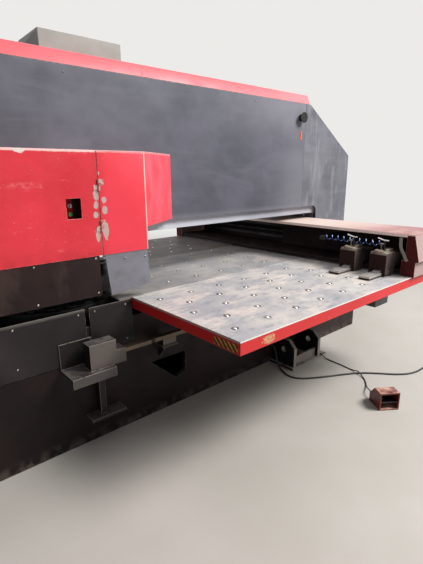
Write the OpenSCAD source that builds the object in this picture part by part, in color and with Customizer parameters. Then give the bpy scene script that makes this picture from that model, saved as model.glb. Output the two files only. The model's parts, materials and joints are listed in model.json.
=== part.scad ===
// Turret punch press with a closed welded frame, a two-axis sheet carriage and
// a red turret guard. X runs along the frame, Y across it, Z up from the floor.
// The origin is the middle of the bed's bottom face.

/* [Frame] */
// Clear length of the throat between the two columns
throat_len = 3090; // [3050:10:3250]
// Width of the bed over its side walls
bed_w = 862; // [850:2:880]
// Wall thickness of the bed
bed_wall = 40; // [25:1:60]
// Width of the columns and of the upper beam
column_w = 400; // [360:4:420]
// Clear height between the table and the upper beam
throat_h = 352; // [345:1:375]
// Depth of the upper beam
beam_depth = 943; // [920:1:980]
// Length of the left column
left_column_len = 1000; // [900:10:1050]
// Length of the right column
right_column_len = 510; // [480:5:520]

/* [Table] */
// Height of the table surface above the floor
table_top = 865; // [860:1:875]
// Thickness of the table plates
table_t = 12; // [8:1:16]
// Length of each wing table
wing_len = 1730; // [1700:10:1750]
// Distance of the outer table edges from the centre line
table_reach = 1383; // [1370:1:1400]
// Gap between a wing table and the centre table
table_gap = 4; // [2:1:8]
// Depth of the red apron below the plate
apron_h = 58; // [40:2:70]
// Radius of a transfer ball
ball_r = 11; // [8:1:14]
// Height of the transfer balls above the table
ball_rise = 4; // [2:0.5:5]

/* [Covers] */
// Gap between the upper beam and its cover sheets
cover_gap = 29; // [20:1:40]
// Thickness of the cover sheets
cover_t = 4; // [2:0.5:6]
// Lower edge of the upper covers above the beam's underside
cover_lift = 69; // [55:1:80]
// Gap between the upper beam and the red roof band
band_gap = 8; // [6:1:20]
// Height of the roof above the upper beam
roof_rise = 84; // [70:2:110]
// Right end of the roof
roof_right = 1610; // [1560:5:1640]
// Height at which the right end's slope meets its upright face
slope_foot = 1750; // [1700:5:1800]
// Radius of the throat's upper right corner in the covers
throat_corner_r = 55; // [30:5:80]

/* [Turret guard] */
// Distance of the red guard's face from the centre line
guard_y = 477; // [470:1:490]
// Lower edge of the red guard
guard_under = 1155; // [1140:1:1170]
// Top of the red guard
guard_top = 1718; // [1690:2:1740]
// Left end of the red guard, from the turret axis
guard_reach = 835; // [800:5:860]
// Seam between the fixed guard and the door, from the turret axis
seam_from_axis = 164; // [150:1:180]
// Width of the door's flat face
door_flat_w = 296; // [280:1:310]
// Length along the frame of the door's slanted face
slant_len = 358; // [340:1:370]
// Width of the control window
window_w = 80; // [60:1:90]
// Height of the control window
window_h = 106; // [90:1:120]

/* [Turret] */
// Turret axis, from the left column
turret_from_column = 570; // [560:1:600]
// Radius of both turrets
turret_r = 410; // [400:1:412]
// Radius of the tool track
track_r = 350; // [330:1:355]
// Number of tool stations
stations = 20; // [12:1:24]
// Radius of a punch
punch_r = 28; // [20:1:32]
// Thickness of both turrets
turret_t = 100; // [80:2:110]
// Radius of both turret shafts
shaft_r = 60; // [50:1:70]
// Striking stroke
stroke = 30; // [20:1:32]
// Radius of the striker rod
striker_r = 45; // [35:1:50]

/* [Carriage] */
// Gap between the carriage beam at its home and the right column
beam_home_gap = 30; // [25:1:40]
// Width of the carriage beam
beam_w = 430; // [420:1:435]
// Gap between the table and the carriage beam
beam_over_table = 15; // [13:1:20]
// Gap between the carriage beam and the upper beam
beam_headroom = 57; // [50:1:65]
// Travel of the carriage along the frame
travel_x = 1270; // [1200:10:1270]
// Travel of the clamps along the beam
travel_y = 1270; // [1200:10:1270]
// Reach of the clamp jaws from the carriage beam
jaw_reach = 308; // [290:1:315]
// Width of a clamp
clamp_w = 126; // [110:2:130]
// Width of a jaw
jaw_w = 84; // [60:2:90]

/* [Hidden] */
$fn = 48;
half_len = (left_column_len + throat_len + right_column_len) / 2;
bed_y = bed_w / 2;
bed_top = table_top - table_t;
beam_under = table_top + throat_h;
beam_top = beam_under + beam_depth;
band_under = beam_top + band_gap;
roof_top = beam_top + roof_rise;
cover_y = column_w / 2 + cover_gap + cover_t;
throat_x0 = -half_len + left_column_len;
throat_x1 = half_len - right_column_len;
turret_x = throat_x0 + turret_from_column;
cover_under = beam_under + cover_lift;
slant_under = cover_under + 4;
guard_left = turret_x - guard_reach;
seam_x = turret_x + seam_from_axis;
door_corner_x = seam_x + door_flat_w;
door_end_x = door_corner_x + slant_len;
beam_x = throat_x1 - beam_home_gap - beam_w;
beam_z0 = table_top + beam_over_table;
beam_z1 = beam_under - beam_headroom;
beam_half = table_reach - 53;
wing_left = beam_x + 15 - wing_len;
jaw_tip_x = beam_x - jaw_reach;
right_panel_lap = 230;
right_panel_x = throat_x1 - right_panel_lap;
run_fit = 0.05;
slip = 0.3;
plate_t = 12;

// Bed
floor_plate_t = 30;
bay_x0 = turret_x - turret_r - 20;
bay_x1 = turret_x + turret_r + 20;
bay_z = 740;
pocket_x = [-257, 20];
pocket_z = [200, 380];
pocket_low_x = -58;
pocket_cut = 30;
right_web_x = 900;

// Turret
punch_x = turret_x + track_r;
die_z = table_top + 5;
lower_disc_z0 = bay_z + 20;
lower_disc_z1 = lower_disc_z0 + turret_t;
upper_disc_z0 = table_top + 40;
upper_disc_z1 = upper_disc_z0 + turret_t;
punch_tip_z = die_z + 23;
punch_head_z = upper_disc_z1 + 45;
striker_z0 = punch_head_z + 2;
bearing_r = 90;
bearing_h = 120;
cylinder_r = 110;
cylinder_drop = 100;
cylinder_z1 = beam_top - cylinder_drop;
piston_rise = 403;
piston_z = beam_under + piston_rise;
piston_h = 90;
piston_r = 75;
hub_r = 130;
hub_h = 40;
ram_bore_gap = 1;

// Tables
centre_half = bed_y + 10;
wing_inner = centre_half + table_gap;
centre_left = bay_x1;
centre_right = throat_x1 - 10;
apron_t = 4;
apron_z1 = table_top - table_t;
apron_z0 = apron_z1 - apron_h;
cup_r = 17;
cup_flange_r = 21;
cup_depth = 9;
ball_pitch = 238;
ball_edge = 137;
row_pitch = 322;
wing_rows_a = [for (i = [0:2]) ball_edge + i * row_pitch - table_reach];
wing_rows_b = [for (i = [0:1]) ball_edge + (i + 0.5) * row_pitch - table_reach];
wing_cols_a = [for (i = [0:5]) wing_left + 101 + i * ball_pitch];
wing_cols_b = [for (i = [0:5]) wing_left + 198 + i * ball_pitch];
centre_rows = [-299, -83, 142, 377];
centre_cols = [for (i = [0:4]) centre_left + 293 + i * (ball_pitch + 10)];

// Side rails, on which the wings' frames run
rail_y = bed_y + 102;
rail_w = 40;
rail_z0 = 575;
rail_z1 = 600;
rail_right = beam_x + 90;
shelf_z1 = 531;
shelf_t = 11;

// Wing frames
saddle_z0 = 700;
saddle_inset = 247;
saddle_y = saddle_inset - table_reach;
saddle_edge_z = apron_z0 + 8;
valve_z0 = 575;
valve_len = 196;
valve_w = 160;
rib_inset = 83;
rib_pitch = 400;
rib_y = [rib_inset - table_reach, rib_inset + rib_pitch - table_reach, -rail_y - 7];
cross_rib_inset = 25;
cross_rib_pitch = 660;
cross_rib_x = [for (i = [0:1]) wing_left + cross_rib_inset + i * cross_rib_pitch];
runner_reach = 570;
runner_x0 = beam_x - runner_reach;
runner_w = 74;
runner_z0 = 640;
runner_z1 = 800;
shoe_len = 100;
shoe_x = [runner_x0 + 20, beam_x - 90];
rail_left = shoe_x[0] - travel_x - 29;

// Screws
screw_r = 16;
x_screw_y = bed_y + 33;
x_screw_z = 620;
x_screw_x1 = beam_x + 110;
x_nut_x = beam_x - 60;
x_screw_x0 = x_nut_x - travel_x - 60;
x_nut_len = 70;
nut_arm_h = 80;
x_motor_r = 32;
x_motor_len = 220;
y_screw_x = beam_x + beam_w - 60;
y_screw_z = (beam_z0 + beam_z1) / 2 - 5;
y_screw_half = beam_half - 40;
y_nut_y = -700;
y_nut_len = 80;
y_motor_r = 44;
y_motor_len = 60;
bearing_block_t = 20;

// Carriage beam
beam_wall = 25;
beam_top_t = 20;
top_cover_t = 8;
cap_t = 4;
cap_in = beam_half - 25;
cross_rail_z = [beam_z0 + 75, beam_z1 - 85];
cross_rail_h = 30;
cross_rail_t = 25;
bar_len = beam_half;
bar_y0 = -(bar_len + travel_y) / 2 - 15;
cross_rail_half = y_screw_half - 4;
bar_in = 270;
bar_x0 = beam_x + bar_in;
bar_x1 = bar_x0 + 40;
bar_z0 = beam_z0 + 35;
bar_z1 = beam_z1 - 45;
shoe_z_half = 30;
slider_len = 100;
slider_y = [bar_y0 + 30, bar_y0 + bar_len - 130];

// Clamps
clamp_inset = 122;
clamp_pitch = 243;
clamp_y = [bar_y0 + clamp_inset + clamp_pitch, bar_y0 + clamp_inset];
jaw_z0 = table_top + ball_rise + 1;
lower_jaw_t = 7;
jaw_gap = 2;
upper_jaw_t = 13;
block_x0 = beam_x - 135;
block_x1 = beam_x - 5;
block_h = 165;
block_z1 = jaw_z0 + block_h;
block_front = 10;
arm_z0 = bar_z0 + 15;
arm_z1 = block_z1 - 25;
pivot_x = block_x0 + 55;
pivot_z = jaw_z0 + 42;
pin_r = 8;
slot_half = 31;
tang_half = 30;
lever_x = block_x0 + 45;
lever_z = block_z1 + 97;
lever_len = 88;
lever_r = 5;

// Rail bracket at the left end of the front rail
bracket_x0 = turret_x - 130;
bracket_x1 = turret_x + 130;
bracket_y = rail_y + 74;
bracket_top = rail_z1 + 82;
block_left = turret_x - 10;
block_right = rail_left;

// Transport lugs
lug_x = [960, 1296];
lug_t = 34;
lug_out = 247;
lug_hole = [-570, 155];
lug_hole_r = 24;
lug_base_t = 20;
lug_h = 247;
lug_chamfer = 62;
lug_root_z = 195;
lug_tie_h = 70;

// Door hinges
hinge_axis_y = -guard_y - 6;
hinge_r = 6;
hinge_pin_r = 3;
hinge_rise = 135;
hinge_pitch = 220;
hinge_z = [for (i = [0:1]) guard_under + hinge_rise + i * hinge_pitch];
hinge_h = 60;
leaf_w = 30;
leaf_t = 3;

// Control window
window_x0 = turret_x - 22;
window_z0 = guard_under + 213;
button_at = [window_x0 + 42, window_z0 + 20];
selector_at = [window_x0 + 42, window_z0 + 66];
recess_back_y = 73 - guard_y;
bezel_r = 15;
button_r = 11;
knob_r = 10;

// Foot switch, turned towards the operator; its own y runs in from the mouth
foot_at = [971, -1491];
foot_turn = -35;
foot_w = 140;
foot_len = 150;
foot_h = 128;
foot_roof = 88;
foot_back_h = 62;
foot_wall = 8;
foot_gland = [-45, 45];
foot_gland_end = foot_len + 20;

// Cord routes, from the machine to the far end
console_d = 14;
console_route = [
    [930, -449, 170], [930, -454, 170], [930, -459, 170], [929, -478, 163],
    [922, -505, 140], [912, -530, 90], [900, -560, 40],
    [886, -600, 12], [868, -640, 7], [850, -690, 7], [842, -740, 7], [862, -790, 7],
    [910, -840, 7], [990, -893, 7], [1080, -944, 7], [1180, -998, 7], [1270, -1052, 7],
    [1350, -1115, 7], [1430, -1200, 7], [1500, -1280, 7], [1580, -1342, 7],
    [1670, -1374, 7], [1790, -1384, 7], [1895, -1384, 7]];
console_coil_at = [1895, -1475];
console_coil_r = 77;
plug_x = 1960;
plug_r = 19;
plug_len = 56;
plug_tail = 10;
switch_d = 9;
switch_route = [
    [1372, -443, 120], [1372, -453, 120], [1372, -473, 116], [1371, -495, 103],
    [1368, -520, 74], [1364, -545, 44], [1359, -575, 27], [1354, -615, 26],
    [1349, -655, 26], [1344, -694, 26], [1340, -722, 14],
    [1337, -755, 5], [1334, -820, 5], [1329, -900, 5], [1320, -976, 5], [1311, -1024, 9],
    [1301, -1058, 20], [1291, -1085, 20], [1274, -1117, 9], [1240, -1160, 5],
    [1200, -1192, 5], [1155, -1222, 9], [1112, -1250, 22], [1077, -1276, 36],
    foot_point(foot_gland[0], foot_gland_end + 24, foot_gland[1]),
    foot_point(foot_gland[0], foot_gland_end + 10, foot_gland[1]),
    foot_point(foot_gland[0], foot_gland_end, foot_gland[1])];

// Frame and covers
frame_end = half_len - cover_t - cover_gap;
slope_x = roof_right + 17;
slope_dir = unit([slope_x - half_len, band_under - slope_foot]);
slope_base = [half_len, slope_foot] + (cover_t + cover_gap) * left_of(slope_dir);
beam_slope_z = slope_base[1] + (frame_end - slope_base[0]) * slope_dir[1] / slope_dir[0];
beam_slope_x = slope_base[0] + (beam_top - slope_base[1]) * slope_dir[0] / slope_dir[1];
batten_z = [cover_under + 34, beam_top - 70];
batten_h = 30;
column_cover_top = cover_under - 136;
band_in = 30;
roof_seam_x = -95;
hood_x = [-760, -170];
hood_y = [-110, 190];
hood_top = roof_top + 116;
hood_slant = 90;
stub_r = 30;
stub_out = 34;
stub_at = [roof_right - 120, band_under - 118];
roof_lift = 2;

// Hydraulic tank with its pump motor
tank_h = 420;
tank_w = 560;
tank_x = [150, 890];
pump_r = 110;
pump_x = [300, 760];

// Guard, skirts and lower covers
seam_gap = 2;
door_slip = 1;
skirt_z0 = 925;
skirt_x1 = seam_x - 24;
skirt_t = 4;
skirt_lap = 30;
flap_z = [table_top + 45, table_top + 75];
flap_t = 3;
lower_cover_t = 6;
lower_cover_z0 = 547;
lower_cover_inset = 400;
lower_cover_end = turret_x + 42;
lower_cover_w = 280;
lower_cover_x = [-half_len + lower_cover_inset, lower_cover_end,
                 lower_cover_end + 24, lower_cover_end + 24 + lower_cover_w];
stem_r = 5;
bezel_h = 8;

// Rail brackets
lip_h = 55;
foot_ledge_z = 196;
foot_ledge_t = 14;
foot_ledge = [turret_x - 7, turret_x + 215];
bracket_rib = [turret_x + 66, turret_x + 104];
block_half_w = 42;
block_step = [60, 40];
support_x = [-250, 420, 1120];
support_w = 120;
support_rib_h = 120;

// Beam ends
cap_low_y = table_reach + 21;
cap_ledge_y = table_reach + 44;
cap_ledge_z = beam_z0 + 91;

// Air hoses
hose_x = beam_x - 40;
hose_lift = 50;
hose_z = block_z1 + hose_lift;
hose_r = 22;
manifold_y = -700;
manifold_w = 60;

// Foot switch
pedal_z = 34;
pedal_pin_r = 5;
pedal_pin_y = 95;

function unit(v) = v / norm(v);
function left_of(v) = [-v[1], v[0]];
function edge_normal(p, i) = left_of(unit(p[i + 1] - p[i]));
function mitre(p, i) =
    let (last = len(p) - 1,
         a = edge_normal(p, max(i - 1, 0)),
         b = edge_normal(p, min(i, last - 1)))
    (a + b) / (1 + a * b);
function foot_point(x, y, z) =
    [foot_at[0] + x * cos(foot_turn) - y * sin(foot_turn),
     foot_at[1] + x * sin(foot_turn) + y * cos(foot_turn), z];
function folded(p, t) = concat(p, [for (i = [len(p) - 1:-1:0]) p[i] + t * mitre(p, i)]);

// A block between two opposite corners
module block(low, high) {
    translate(low) cube(high - low);
}

// An outline in X and Z, carried from y0 to y1
module across(outline, y0, y1) {
    translate([0, y1, 0]) rotate([90, 0, 0]) linear_extrude(y1 - y0) polygon(outline);
}

// An outline in Y and Z, carried from x0 to x1
module along(outline, x0, x1) {
    translate([x0, 0, 0]) rotate([90, 0, 90]) linear_extrude(x1 - x0) polygon(outline);
}

// An outline in X and Y, carried from z0 to z1
module upright(outline, z0, z1) {
    translate([0, 0, z0]) linear_extrude(z1 - z0) polygon(outline);
}

module rod_x(r, x0, x1, y, z) {
    translate([x0, y, z]) rotate([0, 90, 0]) cylinder(r = r, h = x1 - x0);
}

module rod_y(r, y0, y1, x, z) {
    translate([x, y1, z]) rotate([90, 0, 0]) cylinder(r = r, h = y1 - y0);
}

module rod_z(r, z0, z1, x, y) {
    translate([x, y, z0]) cylinder(r = r, h = z1 - z0);
}

// The same thing on the front and on the rear side
module both_sides() {
    children();
    mirror([0, 1, 0]) children();
}

// Welded bed: a closed box with a bay for the lower turret and a lifting
// pocket through both side walls
module bed() {
    color("#17171a")
    difference() {
        block([-half_len, -bed_y, 0], [half_len, bed_y, bed_top]);
        block([bay_x0, -bed_y - 1, bay_z], [bay_x1, bed_y + 1, bed_top + 1]);
        for (span = [[-half_len + bed_wall, bay_x0 - bed_wall, bed_top - bed_wall],
                     [bay_x0, bay_x1, bay_z - bearing_h],
                     [bay_x1 + bed_wall, right_web_x, bed_top - bed_wall],
                     [right_web_x + bed_wall, half_len - bed_wall, bed_top - bed_wall]])
            block([span[0], -bed_y + bed_wall, floor_plate_t],
                  [span[1], bed_y - bed_wall, span[2]]);
        across([[pocket_x[0], pocket_z[1]], [pocket_low_x, pocket_z[0]],
                [pocket_x[1], pocket_z[0] + pocket_cut], [pocket_x[1], pocket_z[1]]],
               -bed_y - 1, bed_y + 1);
        rod_z(bearing_r + run_fit, bay_z - bearing_h - 1, bay_z + 1, turret_x, 0);
    }
}

// Left and right column between the bed and the upper beam
module columns() {
    color("#3a3b3f") {
        block([-frame_end, -column_w / 2, bed_top], [throat_x0, column_w / 2, beam_under]);
        block([throat_x1, -column_w / 2, bed_top], [frame_end, column_w / 2, beam_under]);
    }
}

// Hollow upper beam, sloped at its right end, bored for the striker and the
// upper turret's shaft
module upper_beam() {
    color("#8f9194")
    difference() {
        across([[-frame_end, beam_under], [frame_end, beam_under], [frame_end, beam_slope_z],
                [beam_slope_x, beam_top], [-frame_end, beam_top]], -column_w / 2, column_w / 2);
        for (span = [[-frame_end + bed_wall, turret_x - bearing_r - bed_wall],
                     [punch_x + cylinder_r + bed_wall, right_web_x],
                     [right_web_x + bed_wall, beam_slope_x]])
            block([span[0], -column_w / 2 + bed_wall, beam_under + bed_wall],
                  [span[1], column_w / 2 - bed_wall, beam_top - bed_wall]);
        rod_z(cylinder_r + ram_bore_gap, beam_under - 1, beam_top + 1, punch_x, 0);
        rod_z(bearing_r + run_fit, beam_under - 1, beam_under + bearing_h + bed_wall, turret_x, 0);
    }
}

// Bars that carry the cover sheets off the frame
module cover_battens() {
    y0 = column_w / 2;
    color("#55575b") {
        both_sides() for (z = batten_z)
            block([-frame_end, -y0 - cover_gap, z],
                  [z > slope_foot ? beam_slope_x : frame_end, -y0, z + batten_h]);
        both_sides() {
            block([-frame_end, -y0 - cover_gap, bed_top + batten_h],
                  [throat_x0, -y0, bed_top + 2 * batten_h]);
            block([throat_x1, -y0 - cover_gap, bed_top + batten_h],
                  [frame_end, -y0, bed_top + 2 * batten_h]);
            block([-frame_end, -y0 + 20, beam_top],
                  [beam_slope_x, -y0 + 60, roof_top - cover_t]);
        }
    }
}

// Long cover sheets on both sides of the upper beam
module upper_covers() {
    color("#3b3d44") both_sides()
        block([-half_len, -cover_y, cover_under], [right_panel_x - 1, -cover_y + cover_t, band_under]);
}

// Cover sheets at the right column, rounded at the throat's corner
module right_covers() {
    r = throat_corner_r;
    outline = concat(
        [[right_panel_x + 1, cover_under]],
        [for (a = [90:-15:0]) [throat_x1 - r + r * cos(a), cover_under - r + r * sin(a)]],
        [[throat_x1, column_cover_top], [half_len, column_cover_top], [half_len, slope_foot],
         [slope_x, band_under], [right_panel_x + 1, band_under]]);
    color("#46484f") both_sides() across(outline, -cover_y, -cover_y + cover_t);
}

// Lower cover sheets of both columns
module column_covers() {
    color("#34353a") both_sides() {
        block([-half_len, -cover_y, bed_top], [throat_x0, -cover_y + cover_t, cover_under - 2]);
        block([throat_x1, -cover_y, bed_top], [half_len, -cover_y + cover_t, column_cover_top - 2]);
    }
}

// Red roof: two folded trays with slanted bands along both sides
module roof_panels() {
    band = [[cover_y, band_under + roof_lift], [cover_y - band_in, roof_top],
            [-cover_y + band_in, roof_top], [-cover_y, band_under + roof_lift]];
    color("#b3202a") {
        along(folded(band, cover_t), -half_len, roof_seam_x - 1);
        along(folded(band, cover_t), roof_seam_x + 1, roof_right);
        for (x = [-half_len, roof_right - cover_t])
            along([for (p = band) [p[0] * 0.98, min(p[1], roof_top - cover_t)]], x, x + cover_t);
    }
}

// Sheets that close both ends of the frame
module end_covers() {
    side = cover_y - cover_t;
    color("#2c2d31") {
        across(folded([[half_len, bed_top], [half_len, slope_foot], [slope_x, band_under],
                       [roof_right, band_under]], cover_t), -side, side);
        block([-half_len, -side, bed_top], [-half_len + cover_t, side, band_under]);
    }
}

// Long hood on the roof with a slanted left end
module roof_hood() {
    color("#8d9294")
    difference() {
        across([[hood_x[0], roof_top], [hood_x[1], roof_top], [hood_x[1], hood_top],
                [hood_x[0] + hood_slant, hood_top]], hood_y[0], hood_y[1]);
        across([[hood_x[0] + cover_t * 2, roof_top - 1], [hood_x[1] - cover_t, roof_top - 1],
                [hood_x[1] - cover_t, hood_top - cover_t],
                [hood_x[0] + hood_slant + cover_t, hood_top - cover_t]],
               hood_y[0] + cover_t, hood_y[1] - cover_t);
    }
}

// Fixed part of the red turret guard with its top plate, which reaches over
// the door, and a window for the two controls
module guard_front() {
    color("#b4202b")
    difference() {
        union() {
            upright(folded([[guard_left, -cover_y], [guard_left, -guard_y],
                            [seam_x - seam_gap, -guard_y]], cover_t), guard_under, guard_top);
            upright([[guard_left, -cover_y], [guard_left, -guard_y], [door_corner_x, -guard_y],
                     [door_end_x, -cover_y]], guard_top - cover_t, guard_top);
        }
        block([window_x0, -guard_y - 1, window_z0],
              [window_x0 + window_w, -guard_y + cover_t + 1, window_z0 + window_h]);
    }
}

// Rear turret guard, a single folded sheet with a top plate
module guard_rear() {
    path = [[door_end_x, cover_y], [door_corner_x, guard_y], [guard_left, guard_y], [guard_left, cover_y]];
    color("#b4202b") {
        difference() {
            upright(folded(path, cover_t), guard_under, guard_top - cover_t);
            block([door_corner_x, 0, guard_under - 1], [door_end_x + 1, cover_y, guard_top]);
            block([door_corner_x, cover_y - 1, guard_under - 1],
                  [door_end_x + 1, guard_y + 1, slant_under]);
        }
        upright(path, guard_top - cover_t, guard_top);
    }
}

// Dark skirts below the fixed guards
module skirts() {
    y = guard_y - cover_t;
    color("#1d1512") {
        block([guard_left + cover_t, -y, skirt_z0], [skirt_x1, -y + skirt_t, guard_under + skirt_lap]);
        block([guard_left + cover_t, y - skirt_t, skirt_z0],
              [door_corner_x - 20, y, guard_under + skirt_lap]);
    }
}

// Cover plates on the bed's sides in front of the lower turret
module lower_covers() {
    t = lower_cover_t;
    color("#26272a") both_sides() {
        block([lower_cover_x[0], -bed_y - t, lower_cover_z0], [lower_cover_x[1], -bed_y, bed_top]);
        block([lower_cover_x[2], -bed_y - t, lower_cover_z0 + 40], [lower_cover_x[3], -bed_y, bed_top]);
    }
}

// Box behind the window, with the two bezels
module control_recess() {
    m = 4;
    wall = 2;
    y1 = -guard_y + cover_t;
    z0 = window_z0 - m;
    z1 = window_z0 + window_h + m;
    x0 = window_x0 - m;
    x1 = window_x0 + window_w + m;
    color("#202022")
    difference() {
        union() {
            difference() {
                block([x0 - wall, y1, z0 - wall], [x1 + wall, recess_back_y, z1 + wall]);
                block([x0, y1 - 1, z0], [x1, recess_back_y - wall, z1]);
            }
            for (at = [button_at, selector_at])
                rod_y(bezel_r, recess_back_y - wall - bezel_h, recess_back_y - wall, at[0], at[1]);
        }
        rod_y(button_r + slip, recess_back_y - wall - bezel_h - 1, recess_back_y - wall,
              button_at[0], button_at[1]);
        rod_y(stem_r + run_fit, recess_back_y - 50, recess_back_y + 1, button_at[0], button_at[1]);
        rod_y(stem_r + run_fit, recess_back_y - 50, recess_back_y + 1, selector_at[0], selector_at[1]);
    }
}

// Green push button with its stem
module start_button() {
    y = recess_back_y - 2 - bezel_h;
    color("#1fae5a") {
        rod_y(button_r, y - 8, y + 4, button_at[0], button_at[1]);
        rod_y(stem_r, y, recess_back_y + 6, button_at[0], button_at[1]);
    }
}

// Two-position selector with a bar handle
module selector_knob() {
    y = recess_back_y - 2 - bezel_h;
    color("#c9ccd0") {
        rod_y(knob_r + 2, y - 6, y - slip, selector_at[0], selector_at[1]);
        block([selector_at[0] - 4, y - 18, selector_at[1] - knob_r],
              [selector_at[0] + 4, y - 5, selector_at[1] + knob_r]);
        rod_y(stem_r, y - 1, recess_back_y + 6, selector_at[0], selector_at[1]);
    }
}

// Door over the turret: a flat face and a slanted face folded from one sheet
module turret_door() {
    color("#b0212b")
    difference() {
        upright(folded([[seam_x + seam_gap, -guard_y], [door_corner_x, -guard_y],
                        [door_end_x, -cover_y - door_slip]], cover_t),
                guard_under, guard_top - cover_t - door_slip);
        block([door_corner_x, -guard_y - 1, guard_under - 1], [door_end_x + 1, -cover_y + 1, slant_under]);
        block([door_corner_x, -cover_y - door_slip, guard_under], [door_end_x + 1, 0, guard_top]);
    }
}

// Bare sheet that hangs below the door
module door_flap() {
    y = -guard_y + cover_t;
    color("#7d7a76")
    across([[seam_x + 8, guard_under + skirt_lap], [seam_x + 36, flap_z[0]],
            [door_corner_x + 6, flap_z[1]], [door_corner_x - 6, guard_under + skirt_lap]],
           y, y + flap_t);
}

// Half-hinges welded to the fixed guard, each with its pin
module hinge_leaves() {
    color("#5a2a26") for (z = hinge_z) {
        block([seam_x - leaf_w, -guard_y - leaf_t, z], [seam_x, -guard_y, z + hinge_h / 2 - slip]);
        rod_z(hinge_r, z, z + hinge_h / 2 - slip, seam_x, hinge_axis_y);
        rod_z(hinge_pin_r, z + 1, z + hinge_h - 6, seam_x, hinge_axis_y);
    }
}

// Half-hinges welded to the door, lifted onto the pins
module door_leaves() {
    color("#5a2a26") for (z = hinge_z)
        difference() {
            union() {
                block([seam_x, -guard_y - leaf_t, z + hinge_h / 2],
                      [seam_x + leaf_w, -guard_y, z + hinge_h]);
                rod_z(hinge_r, z + hinge_h / 2, z + hinge_h, seam_x, hinge_axis_y);
            }
            rod_z(hinge_pin_r + run_fit, z + hinge_h / 2 - 1, z + hinge_h - 5, seam_x, hinge_axis_y);
        }
}

module ball_holes(cols, rows) {
    for (x = cols, y = rows) rod_z(cup_r + run_fit, table_top - table_t - 1, table_top + 1, x, y);
}

// A transfer ball in its flanged cup
module ball_unit(x, y) {
    translate([x, y, table_top]) rotate_extrude($fn = 24)
        intersection() {
            union() {
                translate([0, -cup_depth]) square([cup_r, cup_depth]);
                square([cup_flange_r, ball_rise / 2]);
                translate([0, ball_rise - ball_r]) circle(ball_r);
            }
            translate([0, -cup_depth]) square([cup_flange_r, cup_depth + ball_rise]);
        }
}

// Fixed table over the bed, between the two wings
module centre_table() {
    color("#6d6c6e")
    difference() {
        block([centre_left, -centre_half, table_top - table_t], [centre_right, centre_half, table_top]);
        ball_holes(centre_cols, centre_rows);
    }
}

// Transfer balls of the fixed table
module centre_balls() {
    color("#d8dade") for (x = centre_cols, y = centre_rows) ball_unit(x, y);
}

// Hardened rails on both sides of the bed
module side_rails() {
    color("#8b8d90") both_sides()
        block([rail_left, -rail_y - rail_w / 2, rail_z0], [rail_right, -rail_y + rail_w / 2, rail_z1]);
}

// Brackets that carry the side rails: a stop block on an angle at the left
// end, and ribbed shelves along the bed
module rail_brackets() {
    back_y = -bed_y - lower_cover_t;
    color("#1f1f21") both_sides() {
        block([bracket_x0, -bracket_y, shelf_z1 - shelf_t], [bracket_x1, -bed_y, shelf_z1]);
        block([bracket_x0, -bracket_y, shelf_z1 - lip_h], [bracket_x1, -bracket_y + 8, shelf_z1]);
        block([bracket_x0, back_y - 8, shelf_z1 - shelf_t], [bracket_x1 - 70, back_y, bracket_top]);
        step_x = block_right - block_step[0];
        step_z = rail_z0 + block_step[1];
        across([[block_left, shelf_z1], [block_right, shelf_z1], [block_right, step_z],
                [step_x, step_z], [step_x, bracket_top], [block_left, bracket_top]],
               -rail_y - block_half_w, -rail_y + block_half_w);
        block([bracket_rib[0], -bed_y - 60, foot_ledge_z], [bracket_rib[1], -bed_y, shelf_z1 - shelf_t]);
        block([foot_ledge[0], -bed_y - 100, foot_ledge_z - foot_ledge_t],
              [foot_ledge[1], -bed_y, foot_ledge_z]);
        for (x = support_x) {
            rib_x = x + (support_w - plate_t) / 2;
            block([x, -rail_y - rail_w / 2 - 10, shelf_z1 - shelf_t], [x + support_w, -bed_y, shelf_z1]);
            block([x + 10, -rail_y - rail_w / 2, shelf_z1],
                  [x + support_w - 10, -rail_y + rail_w / 2, rail_z0]);
            along([[-bed_y, shelf_z1 - shelf_t], [-rail_y, shelf_z1 - shelf_t],
                   [-bed_y, shelf_z1 - shelf_t - support_rib_h]], rib_x, rib_x + plate_t);
        }
    }
}

// Lugs that hold the bed for transport, joined by a cross plate
module transport_lugs() {
    y1 = -bed_y;
    y0 = y1 - lug_out;
    color("#141416") both_sides() {
        difference() {
            for (x = lug_x)
                along([[y1, lug_base_t], [y0, lug_base_t], [y0, lug_h - lug_chamfer],
                       [y0 + lug_chamfer, lug_h], [y1 - lug_chamfer, lug_h], [y1, lug_root_z]],
                      x, x + lug_t);
            rod_x(lug_hole_r, lug_x[0] - 1, lug_x[1] + lug_t + 1, lug_hole[0], lug_hole[1]);
        }
        block([lug_x[0] - 20, y0 - 10, 0], [lug_x[1] + lug_t + 90, y1, lug_base_t]);
        block([lug_x[0] + lug_t, y0 + 30, lug_base_t], [lug_x[1], y0 + 50, lug_base_t + lug_tie_h]);
    }
}

// Round stubs near the top right corner, on which the frame is slung
module lifting_stubs() {
    color("#101012") both_sides() {
        rod_y(stub_r, -cover_y - stub_out, -cover_y, stub_at[0], stub_at[1]);
        rod_y(stub_r + 14, -cover_y - stub_out - 8, -cover_y - stub_out, stub_at[0], stub_at[1]);
    }
}

module station_ring(r, z0, z1) {
    for (i = [0:stations - 1]) rotate([0, 0, i * 360 / stations]) rod_z(r, z0, z1, track_r, 0);
}

// Upper turret disc with its hub and shaft
module upper_turret() {
    color("#77797d") translate([turret_x, 0, 0]) difference() {
        union() {
            rod_z(turret_r, upper_disc_z0, upper_disc_z1, 0, 0);
            rod_z(hub_r, upper_disc_z1, upper_disc_z1 + hub_h, 0, 0);
            rod_z(shaft_r, upper_disc_z1, beam_under + bearing_h, 0, 0);
        }
        station_ring(punch_r + run_fit, upper_disc_z0 - 1, upper_disc_z1 + 1);
    }
}

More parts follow.
